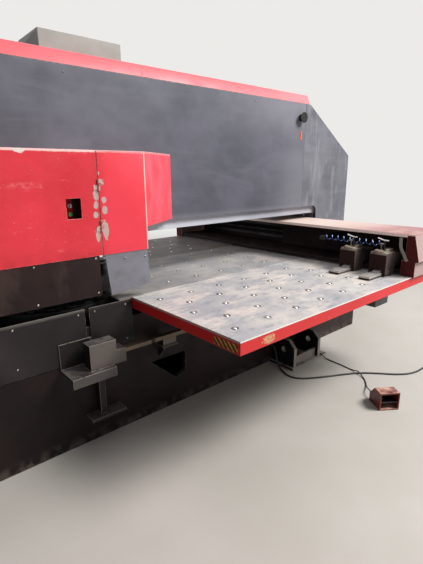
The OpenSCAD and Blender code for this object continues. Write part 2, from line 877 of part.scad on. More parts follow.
module punch() {
    rod_z(punch_r, upper_disc_z0, upper_disc_z1, 0, 0);
    rod_z(punch_r * 0.6, upper_disc_z1, punch_head_z - 10, 0, 0);
    rod_z(punch_r * 0.95, punch_head_z - 10, punch_head_z, 0, 0);
    rod_z(punch_r * 0.5, punch_tip_z, upper_disc_z0, 0, 0);
}

// Punches that wait in the other stations: those on the quarter turns are empty
module upper_punches() {
    color("#a8abb0") translate([turret_x, 0, 0])
        for (i = [1:stations - 1]) if (i * 4 % stations != 0) rotate([0, 0, i * 360 / stations])
            translate([track_r, 0, 0]) punch();
}

// The punch under the striker
module striking_punch() {
    color("#b8bbc0") translate([punch_x, 0, 0]) punch();
}

// Lower turret disc with its dies and shaft
module lower_turret() {
    color("#6f7175") translate([turret_x, 0, 0]) difference() {
        union() {
            rod_z(turret_r, lower_disc_z0, lower_disc_z1, 0, 0);
            station_ring(punch_r * 1.2, lower_disc_z1, die_z);
            rod_z(shaft_r, bay_z - bearing_h, lower_disc_z0, 0, 0);
        }
        station_ring(punch_r * 0.5 + 0.4, lower_disc_z0 - 1, die_z + 1);
    }
}

// Bearings of both turret shafts
module turret_bearings() {
    color("#9a9ca0") for (z = [bay_z - bearing_h, beam_under])
        difference() {
            rod_z(bearing_r, z, z + bearing_h, turret_x, 0);
            rod_z(shaft_r + run_fit, z - 1, z + bearing_h + 1, turret_x, 0);
        }
}

// Striker rod with its piston
module striker() {
    color("#c2c5ca") {
        rod_z(striker_r, striker_z0, piston_z, punch_x, 0);
        rod_z(piston_r, piston_z, piston_z + piston_h, punch_x, 0);
    }
}

// Hydraulic cylinder in the upper beam's bore, with a flange below the beam
module striker_cylinder() {
    color("#4c5a66")
    difference() {
        union() {
            rod_z(cylinder_r, beam_under, cylinder_z1, punch_x, 0);
            rod_z(cylinder_r + 30, beam_under - 30, beam_under, punch_x, 0);
        }
        rod_z(striker_r + run_fit, beam_under - 31, piston_z, punch_x, 0);
        rod_z(piston_r + run_fit, piston_z - stroke - 20, piston_z + piston_h + 20, punch_x, 0);
    }
}

// Hydraulic tank with its pump motor, inside the bed's left end
module hydraulic_tank() {
    color("#5b6b58") {
        block([-half_len + tank_x[0], -tank_w / 2, floor_plate_t],
              [-half_len + tank_x[1], tank_w / 2, tank_h]);
        rod_x(pump_r, -half_len + pump_x[0], -half_len + pump_x[1], 0, tank_h + pump_r - 2);
    }
}

// Carriage beam: a channel that is open towards the turret
module carriage_beam() {
    x1 = beam_x + beam_w;
    color("#2a1a1a")
    across([[beam_x, beam_z0], [x1, beam_z0], [x1, beam_z1], [beam_x, beam_z1],
            [beam_x, beam_z1 - beam_top_t], [x1 - beam_wall, beam_z1 - beam_top_t],
            [x1 - beam_wall, beam_z0 + beam_wall], [beam_x, beam_z0 + beam_wall]],
           -beam_half, beam_half);
}

// Faded sheet on top of the carriage beam and its end hoods, with lips along
// the beam's edges
module beam_top_cover() {
    x0 = beam_x - 3;
    x1 = beam_x + beam_w + 3;
    lip = 14;
    color("#e3b3a8") {
        block([x0, -table_reach, beam_z1], [x1, table_reach, beam_z1 + top_cover_t]);
        block([x0, -beam_half, beam_z1 - lip], [beam_x, beam_half, beam_z1 + 1]);
        block([beam_x + beam_w, -beam_half, beam_z1 - lip], [x1, beam_half, beam_z1 + 1]);
    }
}

// Red hoods over both ends of the carriage beam, sloping outwards to a ledge
// above a narrower foot
module end_caps() {
    x0 = beam_x - cap_t;
    x1 = beam_x + beam_w + cap_t;
    t = cap_t;
    fold_z = cap_ledge_z + 10;
    outer = [[cap_in, table_top + 1], [cap_low_y, table_top + 1], [cap_low_y, cap_ledge_z],
             [cap_ledge_y, fold_z], [table_reach, beam_z1], [beam_half, beam_z1],
             [beam_half, fold_z], [cap_in, fold_z]];
    inner = [[cap_in - 1, table_top], [cap_low_y - t, table_top], [cap_low_y - t, cap_ledge_z + t],
             [cap_ledge_y - 2 * t, fold_z + t], [table_reach - t, beam_z1 + 1],
             [cap_in - 1, beam_z1 + 1]];
    color("#a51c28") for (side = [1, -1])
        difference() {
            along([for (p = outer) [side * p[0], p[1]]], x0, x1);
            along([for (p = inner) [side * p[0], p[1]]], beam_x, beam_x + beam_w);
        }
}

// Linear rails on the beam's rear wall, inside the channel
module cross_rails() {
    x1 = beam_x + beam_w - beam_wall;
    color("#aeb1b5") for (z = cross_rail_z)
        block([x1 - cross_rail_t, -cross_rail_half, z - cross_rail_h / 2],
              [x1, cross_rail_half, z + cross_rail_h / 2]);
}

// Plates of the two wing tables
module wing_tables() {
    color("#7a797a") both_sides()
        difference() {
            block([wing_left, -table_reach, table_top - table_t],
                  [wing_left + wing_len, -wing_inner, table_top]);
            ball_holes(wing_cols_a, wing_rows_a);
            ball_holes(wing_cols_b, wing_rows_b);
        }
}

// Red aprons folded round the outer edges of the wing tables
module wing_aprons() {
    color("#c21f28") both_sides()
        upright(folded([[wing_left, -wing_inner], [wing_left, -table_reach],
                        [beam_x + beam_w, -table_reach]], apron_t), apron_z0, apron_z1);
}

// Welded frames below the wings: saddles under the beam with a valve box each,
// tapered ribs, and runners with shoes on the side rails
module wing_frames() {
    x1 = beam_x + beam_w - 5;
    table_x1 = wing_left + wing_len;
    color("#3c3d40") both_sides() {
        block([table_x1, saddle_y, saddle_z0], [x1, -wing_inner - 25, beam_z0]);
        block([table_x1, -table_reach + 30, saddle_edge_z], [x1, saddle_y + 1, beam_z0]);
        block([table_x1, saddle_y, valve_z0], [table_x1 + valve_len, saddle_y + valve_w, saddle_z0 + 1]);
        for (y = rib_y) {
            foot_z = y < saddle_y ? saddle_edge_z : saddle_z0;
            across([[table_x1, foot_z], [table_x1 + 10, foot_z], [table_x1 + 10, apron_z1],
                    [wing_left + 15, apron_z1], [wing_left + 15, apron_z0 + 5]], y, y + plate_t);
        }
        for (x = cross_rib_x) block([x, rib_y[0], apron_z0 + 8], [x + plate_t, rib_y[2], apron_z1]);
        block([runner_x0, -rail_y - runner_w / 2, runner_z0],
              [table_x1 + 5, -rail_y + runner_w / 2, runner_z1]);
        for (x = shoe_x) difference() {
            block([x, -rail_y - runner_w / 2, rail_z0 + 3],
                  [x + shoe_len, -rail_y + runner_w / 2, runner_z0 + 1]);
            block([x - 1, -rail_y - rail_w / 2 - slip, rail_z0],
                  [x + shoe_len + 1, -rail_y + rail_w / 2 + slip, rail_z1 + slip]);
        }
    }
    color("#8a8c8f") difference() {
        block([x_nut_x, x_screw_y - 24, x_screw_z - 26],
              [x_nut_x + x_nut_len, rail_y - runner_w / 2, runner_z0 + nut_arm_h]);
        rod_x(screw_r + run_fit, x_nut_x - 1, x_nut_x + x_nut_len + 1, x_screw_y, x_screw_z);
    }
}

// Transfer balls of both wing tables
module wing_balls() {
    color("#d8dade") both_sides() {
        for (x = wing_cols_a, y = wing_rows_a) ball_unit(x, y);
        for (x = wing_cols_b, y = wing_rows_b) ball_unit(x, y);
    }
}

// Screw that moves the carriage along the frame, behind the bed
module x_screw() {
    color("#c6c8cb") rod_x(screw_r, x_screw_x0, x_screw_x1 + 10, x_screw_y, x_screw_z);
}

// Bearing blocks and servo motor of the carriage screw
module x_drive() {
    color("#33383d") {
        for (x = [x_screw_x0, x_screw_x1]) difference() {
            block([x, bed_y, x_screw_z - 26], [x + bearing_block_t, x_screw_y + 30, x_screw_z + 26]);
            rod_x(screw_r + run_fit, x - 1, x + bearing_block_t + 1, x_screw_y, x_screw_z);
        }
        rod_x(x_motor_r, x_screw_x1 + bearing_block_t, x_screw_x1 + x_motor_len, x_screw_y, x_screw_z);
    }
}

// Screw that moves the clamps along the beam
module y_screw() {
    color("#c6c8cb") rod_y(screw_r, -y_screw_half - 10, y_screw_half + 10, y_screw_x, y_screw_z);
}

// Bearing blocks and flat servo motor of the clamp screw
module y_drive() {
    wall = beam_x + beam_w - beam_wall;
    color("#33383d") {
        for (y = [-y_screw_half - bearing_block_t, y_screw_half]) difference() {
            block([y_screw_x - 20, y, y_screw_z - 28], [wall, y + bearing_block_t, y_screw_z + 28]);
            rod_y(screw_r + run_fit, y - 0.01, y + bearing_block_t + 0.01, y_screw_x, y_screw_z);
        }
        rod_y(y_motor_r, y_screw_half + bearing_block_t, y_screw_half + y_motor_len,
              y_screw_x - 10, y_screw_z);
    }
}

// Cross slide inside the beam: a bar on four shoes, with the screw's nut
module clamp_bar() {
    wall = beam_x + beam_w - beam_wall;
    color("#4a4b4f") {
        difference() {
            union() {
                block([bar_x0, bar_y0, bar_z0], [bar_x1, bar_y0 + bar_len, bar_z1]);
                for (y = slider_y, z = cross_rail_z)
                    block([bar_x1 - 1, y, z - shoe_z_half], [wall - 6, y + slider_len, z + shoe_z_half]);
                block([bar_x1 - 1, y_nut_y, y_screw_z - 27],
                      [wall - 6, y_nut_y + y_nut_len, y_screw_z + 27]);
            }
            for (z = cross_rail_z)
                block([wall - cross_rail_t - slip, bar_y0 - 1, z - cross_rail_h / 2 - slip],
                      [wall, bar_y0 + bar_len + 1, z + cross_rail_h / 2 + slip]);
            rod_y(screw_r + run_fit, y_nut_y - 1, y_nut_y + y_nut_len + 1, y_screw_x, y_screw_z);
        }
    }
}

// Clamp bodies with their lower jaws, slotted for the tangs of the upper jaws
module clamp_bodies() {
    color("#43342c") for (yc = clamp_y) translate([0, yc, 0])
        difference() {
            union() {
                across([[block_x0, jaw_z0 + lower_jaw_t - 1], [block_x1, jaw_z0 + lower_jaw_t - 1],
                        [block_x1, arm_z0 - 18], [block_x1 + 25, arm_z0], [bar_x0, arm_z0],
                        [bar_x0, arm_z1], [block_x1 + 40, arm_z1], [block_x1, block_z1],
                        [block_x0 + 14, block_z1], [block_x0, block_z1 - 14]],
                       -clamp_w / 2, clamp_w / 2);
                block([jaw_tip_x, -jaw_w / 2, jaw_z0], [block_x1 - 20, jaw_w / 2, jaw_z0 + lower_jaw_t]);
                block([bar_x0 - 12, -clamp_w / 2, bar_z0], [bar_x0, clamp_w / 2, bar_z1]);
            }
            block([block_x0 + block_front, -slot_half, jaw_z0 + lower_jaw_t],
                  [pivot_x + 40, slot_half, pivot_z + 55]);
            block([block_x0 - 1, -jaw_w / 2 - slip, jaw_z0 + lower_jaw_t],
                  [block_x0 + 22, jaw_w / 2 + slip, jaw_z0 + lower_jaw_t + upper_jaw_t + 24]);
            rod_y(pin_r + run_fit, -clamp_w / 2 - 1, clamp_w / 2 + 1, pivot_x, pivot_z);
        }
}

// Upper jaw: a pad with a tang on its pin
module upper_jaw() {
    z0 = jaw_z0 + lower_jaw_t + jaw_gap;
    block([jaw_tip_x, -jaw_w / 2, z0], [block_x0 + 4, jaw_w / 2, z0 + upper_jaw_t]);
    across([[block_x0 - 12, z0], [pivot_x + 8, z0], [pivot_x + 22, pivot_z],
            [pivot_x + 8, pivot_z + 18], [pivot_x - 12, pivot_z + 18], [block_x0 - 12, z0 + upper_jaw_t]],
           -tang_half, tang_half);
    rod_y(pin_r, -clamp_w / 2 + 6, clamp_w / 2 - 6, pivot_x, pivot_z);
}

module clamp_1_jaw() {
    color("#8e8d8c") translate([0, clamp_y[0], 0]) upper_jaw();
}

module clamp_2_jaw() {
    color("#8e8d8c") translate([0, clamp_y[1], 0]) upper_jaw();
}

// Bright elbow pipes on posts above the clamps
module air_fittings() {
    color("#c9ccce") for (yc = clamp_y) translate([lever_x, yc - 20, 0]) {
        rod_z(9, block_z1, block_z1 + 26, 0, 0);
        rod_z(lever_r, block_z1 + 26, lever_z, 0, 0);
        rod_y(lever_r, -lever_len / 2, lever_len / 2, 0, lever_z);
    }
    color("#7c7468") {
        block([hose_x - 16, manifold_y, hose_z - 26], [bar_x0, manifold_y + manifold_w, hose_z + 10]);
        for (yc = clamp_y)
            block([hose_x - 14, yc + 14, block_z1], [hose_x + 14, yc + 42, hose_z + 14]);
    }
}

// Coiled air hoses between the manifold and the clamps, as their outer form
module air_hoses() {
    color("#20406e") {
        rod_y(hose_r, clamp_y[0] + 42, manifold_y, hose_x, hose_z);
        rod_y(hose_r, clamp_y[1] + 42, clamp_y[0] + 14, hose_x, hose_z);
    }
}

module at_foot() {
    translate([foot_at[0], foot_at[1], 0]) rotate([0, 0, foot_turn]) children();
}

// Cast hood of the foot switch, open at the front and sloped at the rear
module foot_switch() {
    w = foot_w / 2;
    t = foot_wall;
    back_y = foot_len - 30;
    color("#5f241c") at_foot() {
        difference() {
            along([[0, 0], [foot_len, 0], [foot_len, foot_back_h], [foot_roof, foot_h], [0, foot_h]], -w, w);
            along([[-1, t], [back_y, t], [back_y, foot_back_h + 16], [foot_roof - 4, foot_h - t - 2],
                   [-1, foot_h - t - 2]], t - w, w - t);
            rod_x(pedal_pin_r + run_fit, -w - 1, w + 1, pedal_pin_y, pedal_z);
        }
        rod_y(switch_d, foot_len, foot_gland_end, foot_gland[0], foot_gland[1]);
    }
}

// Treadle of the foot switch on its pin
module foot_pedal() {
    w = foot_w / 2;
    side = w - foot_wall - 3;
    y1 = pedal_pin_y + 13;
    color("#2d2d2f") at_foot() {
        along([[pedal_pin_y - 15, pedal_z - 9], [y1, pedal_z - 9], [y1, pedal_z + 9],
               [pedal_pin_y - 5, pedal_z + 12], [8, pedal_z + 26], [6, pedal_z + 18]], -side, side);
        rod_x(pedal_pin_r, 2 - w, w - 2, pedal_pin_y, pedal_z);
    }
}

// A tube through a route of points: rings of sides corners, closed at both ends
function route_dir(p, i) =
    unit(p[min(i + 1, len(p) - 1)] - p[max(i - 1, 0)]);
function ring(c, d, r, sides) =
    let (u = unit(cross(d, abs(d[2]) > 0.9 ? [1, 0, 0] : [0, 0, 1])), v = cross(u, d))
    [for (k = [0:sides - 1]) c + r * (cos(k * 360 / sides) * u + sin(k * 360 / sides) * v)];
function split(p, n, low) = concat(
    [for (i = [0:len(p) - 2]) for (j = [0:n - 1])
        let (q = spline(p, i, j / n)) [q[0], q[1], max(q[2], low)]], [p[len(p) - 1]]);
function spline(p, i, t) =
    let (a = p[max(i - 1, 0)], b = p[i], c = p[i + 1], d = p[min(i + 2, len(p) - 1)])
    b + t * (c - a) / 2 + t * t * (a - 2.5 * b + 2 * c - d / 2)
    + t * t * t * (1.5 * b - a / 2 - 1.5 * c + d / 2);

module tube(p, r, sides) {
    n = len(p);
    points = [for (i = [0:n - 1]) each ring(p[i], route_dir(p, i), r, sides)];
    walls = [for (i = [0:n - 2], k = [0:sides - 1])
        [i * sides + k, i * sides + (k + 1) % sides,
         (i + 1) * sides + (k + 1) % sides, (i + 1) * sides + k]];
    ends = [[for (k = [sides - 1:-1:0]) k], [for (k = [0:sides - 1]) (n - 1) * sides + k]];
    polyhedron(points, concat(walls, ends));
}

// Glands on the bed's side, out of which the two cables come
module cable_glands() {
    color("#1b1b1c") for (g = [[console_route[0], console_d], [switch_route[0], switch_d]])
        translate([g[0][0], 0, g[0][2]]) {
            rod_y(g[1] * 1.3, g[0][1] + 4, -bed_y, 0, 0);
            rod_y(g[1] * 0.9, g[0][1], g[0][1] + 4, 0, 0);
        }
}

module console_cable() {
    color("#141414") tube(split(console_route, 2, console_d / 2), console_d / 2, 10);
}

// Coil of the cable's unseen length: three turns side by side, two layers high
module console_coil() {
    color("#141414") translate([console_coil_at[0], console_coil_at[1], 0])
        rotate_extrude() translate([console_coil_r - 1.5 * console_d, 0])
            square([3 * console_d, 2 * console_d]);
    color("#141414") rod_x(console_d / 2, console_coil_at[0], plug_x,
                           console_coil_at[1] + console_coil_r + console_d, plug_r);
}

// Round multi-pole plug that lies beside the coil
module console_plug() {
    y = console_coil_at[1] + console_coil_r + console_d;
    x0 = plug_x + plug_tail;
    color("#2b2d2f") {
        rod_x(plug_r * 0.85, plug_x, x0, y, plug_r);
        rod_x(plug_r, x0, x0 + plug_len, y, plug_r);
        rod_x(plug_r * 0.72, x0 + plug_len, x0 + plug_len + 20, y, plug_r);
    }
}

module switch_cable() {
    color("#141414") tube(switch_route, switch_d / 2, 8);
}

bed();
columns();
upper_beam();
cover_battens();
upper_covers();
right_covers();
column_covers();
roof_panels();
end_covers();
roof_hood();
guard_front();
guard_rear();
skirts();
lower_covers();
control_recess();
start_button();
selector_knob();
turret_door();
door_flap();
hinge_leaves();
door_leaves();
centre_table();
centre_balls();
side_rails();
rail_brackets();
transport_lugs();
lifting_stubs();
upper_turret();
upper_punches();
lower_turret();
turret_bearings();
striking_punch();
striker();
striker_cylinder();
hydraulic_tank();
carriage_beam();
beam_top_cover();
end_caps();
cross_rails();
wing_tables();
wing_aprons();
wing_frames();
wing_balls();
x_screw();
x_drive();
y_screw();
y_drive();
clamp_bar();
clamp_bodies();
clamp_1_jaw();
clamp_2_jaw();
air_fittings();
air_hoses();
foot_switch();
foot_pedal();
cable_glands();
console_cable();
console_coil();
console_plug();
switch_cable();
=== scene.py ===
"""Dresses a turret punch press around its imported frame: paint and wear, tables with transfer
balls, clamps with hoses, the two cables and the small fasteners. All lengths are in metres."""

import json

import bmesh
import bpy
import numpy as np
from mathutils import Matrix

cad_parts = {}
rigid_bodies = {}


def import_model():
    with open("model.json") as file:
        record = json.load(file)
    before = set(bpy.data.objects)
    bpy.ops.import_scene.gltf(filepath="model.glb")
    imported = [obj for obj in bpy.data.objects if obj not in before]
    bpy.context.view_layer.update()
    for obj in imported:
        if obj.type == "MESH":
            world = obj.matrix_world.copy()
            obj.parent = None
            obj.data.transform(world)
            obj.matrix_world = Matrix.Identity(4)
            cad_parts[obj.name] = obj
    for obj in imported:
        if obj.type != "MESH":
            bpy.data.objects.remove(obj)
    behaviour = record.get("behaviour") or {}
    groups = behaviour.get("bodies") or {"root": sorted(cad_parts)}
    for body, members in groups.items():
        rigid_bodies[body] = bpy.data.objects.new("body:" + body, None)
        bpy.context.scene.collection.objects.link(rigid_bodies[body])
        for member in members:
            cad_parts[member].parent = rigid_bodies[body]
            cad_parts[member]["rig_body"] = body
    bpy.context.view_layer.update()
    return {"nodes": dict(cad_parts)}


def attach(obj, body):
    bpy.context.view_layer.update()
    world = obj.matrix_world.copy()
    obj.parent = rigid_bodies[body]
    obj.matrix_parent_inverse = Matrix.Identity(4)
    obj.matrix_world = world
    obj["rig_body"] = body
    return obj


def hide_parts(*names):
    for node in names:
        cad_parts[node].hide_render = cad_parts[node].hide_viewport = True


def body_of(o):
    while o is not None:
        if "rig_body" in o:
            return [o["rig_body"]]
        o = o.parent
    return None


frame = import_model()
NODES = frame["nodes"]
X, Y, Z = 0, 1, 2
# Distances at which points merge, in welded shells and in CAD meshes
MERGE, MERGE_CAD = 1e-6, 1e-5
# Angles in degrees: faces up to the first count as flat, edges above the second are rounded, and
# edges above the third stay crisp on a rounded piece
FLAT, SHARP, CRISP = 0.5, 28, 18.0


def srgb(red, green, blue):
    """The linear colour of three display values from 0 to 255, with an alpha of 1."""
    v = np.array((red, green, blue)) / 255
    return (*np.where(v <= 0.04045, v / 12.92, ((v + 0.055) / 1.055) ** 2.4).tolist(), 1.0)


# Camera

def look_from(place, heading, pitch, roll, lens):
    """A camera at place, heading degrees round from +X and pitch degrees down, rolled clockwise."""
    heading, pitch, roll = np.radians((heading, pitch, roll))
    ahead = np.array((np.cos(heading) * np.cos(pitch), np.sin(heading) * np.cos(pitch),
                      -np.sin(pitch)))
    right = np.array((np.sin(heading), -np.cos(heading), 0.0))
    down = np.cross(ahead, right)
    right, down = (np.cos(roll) * right + np.sin(roll) * down,
                   np.cos(roll) * down - np.sin(roll) * right)
    matrix = Matrix.Identity(4)
    for column, axis in enumerate((right, -down, -ahead, np.array(place))):
        matrix.col[column][:3] = axis
    data = bpy.data.cameras.new("photo_view")
    data.lens, data.sensor_width = lens, 36.0
    data.clip_start, data.clip_end = 0.05, 200.0
    camera = bpy.data.objects.new("photo_view", data)
    bpy.context.collection.objects.link(camera)
    camera.matrix_world = matrix
    bpy.context.scene.camera = camera


# Fitted to the vanishing lines of the photo
look_from(place=(-1.600, -2.583, 1.600), heading=48.92, pitch=14.96, roll=0.4615, lens=26.2)


# Mesh making

def weld(name, shells, smooth, body, finish, stands_for=()):
    """One piece out of shells, each a grid of points and its faces. Points that coincide are
    merged, normals face outwards and edges sharper than smooth degrees stay crisp."""
    mesh = bpy.data.meshes.new(name)
    points, faces, start = [], [], 0
    for p, f in shells:
        points.append(p)
        faces += (f + start).tolist()
        start += len(p)
    mesh.from_pydata(np.vstack(points).tolist(), [], faces)
    obj = bpy.data.objects.new(name, mesh)
    bpy.context.collection.objects.link(obj)
    bm = bmesh.new()
    bm.from_mesh(mesh)
    bmesh.ops.remove_doubles(bm, verts=bm.verts, dist=MERGE)
    bmesh.ops.recalc_face_normals(bm, faces=bm.faces)
    crisp(bm, smooth)
    bm.to_mesh(mesh)
    bm.free()
    return ready(obj, body, finish, stands_for)


def crisp(bm, smooth):
    """Shades the faces smooth, but not across edges sharper than smooth degrees."""
    limit = np.radians(smooth)
    for face in bm.faces:
        face.smooth = True
    for edge in bm.edges:
        edge.smooth = len(edge.link_faces) == 2 and bool(edge.calc_face_angle(0.0) < limit)


def ready(obj, body, finish, stands_for):
    """Puts a finished piece on its body and gives it its finish, and hides the nodes it stands for."""
    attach(obj, body)
    obj.data.materials.clear()
    obj.data.materials.append(finish)
    if stands_for:
        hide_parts(*stands_for)
    return obj


def eased(node, width, finish):
    """A copy of a CAD node with its sharp edges rounded by width; the rounded faces carry the
    attribute rim, on which paint wears first."""
    source = NODES[node]
    mesh = source.data.copy()
    obj = bpy.data.objects.new(node + "_eased", mesh)
    bpy.context.collection.objects.link(obj)
    bm = bmesh.new()
    bm.from_mesh(mesh)
    bmesh.ops.remove_doubles(bm, verts=bm.verts, dist=MERGE_CAD)
    bmesh.ops.dissolve_limit(bm, angle_limit=np.radians(FLAT), verts=bm.verts, edges=bm.edges)
    rim = bm.faces.layers.float.new("rim")
    if width:
        sharp = [e for e in bm.edges
                 if len(e.link_faces) == 2 and e.calc_face_angle() > np.radians(SHARP)]
        rounded = bmesh.ops.bevel(bm, geom=sharp, offset=width, segments=2, profile=0.5,
                                  affect="EDGES", clamp_overlap=True)
        for face in rounded["faces"]:
            face[rim] = 1.0
    crisp(bm, CRISP)
    bm.to_mesh(mesh)
    bm.free()
    return ready(obj, body_of(source)[0], finish, (node,))


def grid_faces(rows, columns):
    """Four-cornered faces between neighbouring rows of points, closed round the columns."""
    i, j = np.meshgrid(np.arange(rows - 1), np.arange(columns), indexing="ij")
    k = (j + 1) % columns
    return np.stack((i * columns + j, i * columns + k, (i + 1) * columns + k, (i + 1) * columns + j),
                    axis=-1).reshape(-1, 4)


def turned(profile, sides, at=(0, 0, 0), axis=Z):
    """A profile of (radius, height) turned about an axis: point = (r cos a, r sin a, h), with the
    height along the axis. A radius of 0 at an end closes it."""
    r, h = np.array(profile, float).T
    a = np.linspace(0, 2 * np.pi, sides, endpoint=False)
    ring = np.stack((np.cos(a), np.sin(a)), axis=-1)
    across = r[:, None, None] * ring[None]
    along = np.broadcast_to(h[:, None, None], (*across.shape[:2], 1))
    order = {X: (2, 0, 1), Y: (1, 2, 0), Z: (0, 1, 2)}[axis]
    points = np.concatenate((across, along), axis=-1)[..., order]
    return points.reshape(-1, 3) + np.array(at), grid_faces(len(r), sides)


def swept(path, radius, sides, flat=1.0, up=(0, 0, 1)):
    """A round bar along a path: at each point a ring of the radius, square to the path, with the
    side direction from path x up; flat squeezes it along up. Both ends close in a point."""
    path = np.array(path, float)
    step = np.gradient(path, axis=0)
    step /= np.linalg.norm(step, axis=1)[:, None]
    side = np.cross(step, np.array(up, float))
    side /= np.linalg.norm(side, axis=1)[:, None]
    rise = np.cross(side, step)
    radius = np.broadcast_to(np.array(radius, float), len(path)).copy()
    path = np.vstack((path[:1], path, path[-1:]))
    side, rise = (np.vstack((v[:1], v, v[-1:])) for v in (side, rise))
    radius = np.concatenate(([0.0], radius, [0.0]))
    a = np.linspace(0, 2 * np.pi, sides, endpoint=False)[None, :, None]
    points = (path[:, None] + radius[:, None, None]
              * (np.cos(a) * side[:, None] + flat * np.sin(a) * rise[:, None]))
    return points.reshape(-1, 3), grid_faces(len(path), sides)


def curved(points, steps=8):
    """A Catmull-Rom curve through the points, with the ends repeated."""
    p = np.array(points, float)
    p = np.vstack((p[:1], p, p[-1:]))
    a, b, c, d = (q[:, None] for q in (p[:-3], p[1:-2], p[2:-1], p[3:]))
    t = np.linspace(0, 1, steps, endpoint=False)[None, :, None]
    run = (b + t * (c - a) / 2 + t ** 2 * (a - 2.5 * b + 2 * c - d / 2)
           + t ** 3 * (1.5 * b - a / 2 - 1.5 * c + d / 2))
    return np.vstack((run.reshape(-1, 3), p[-1:]))


def copies(shell, places):
    """The same shell at many places."""
    points, faces = shell
    places = np.array(places, float)
    many = points[None] + places[:, None]
    first = (np.arange(len(places)) * len(points))[:, None, None]
    return many.reshape(-1, 3), (faces[None] + first).reshape(-1, faces.shape[1])


def lump(centre, half, square, sides=24, rows=13):
    """A superellipsoid: cosines and sines of two angles raised to the power square, so that a small
    power gives a block with rounded edges. Its poles close in a point."""
    def power(v):
        return np.sign(v) * np.abs(v) ** square

    a = np.linspace(0, 2 * np.pi, sides, endpoint=False) + np.pi / sides
    t = np.linspace(-np.pi / 2, np.pi / 2, rows)[:, None]
    cos_t = power(np.cos(t))
    cos_t[0] = cos_t[-1] = 0.0
    unit = np.stack((cos_t * power(np.cos(a)), cos_t * power(np.sin(a)),
                     np.broadcast_to(power(np.sin(t)), (rows, sides))), axis=-1)
    return (unit * np.array(half) + np.array(centre)).reshape(-1, 3), grid_faces(rows, sides)


def mirrored(shell):
    """The same shell on the other side of the frame: y becomes -y."""
    return shell[0] * (1, -1, 1), shell[1]


# Finishes

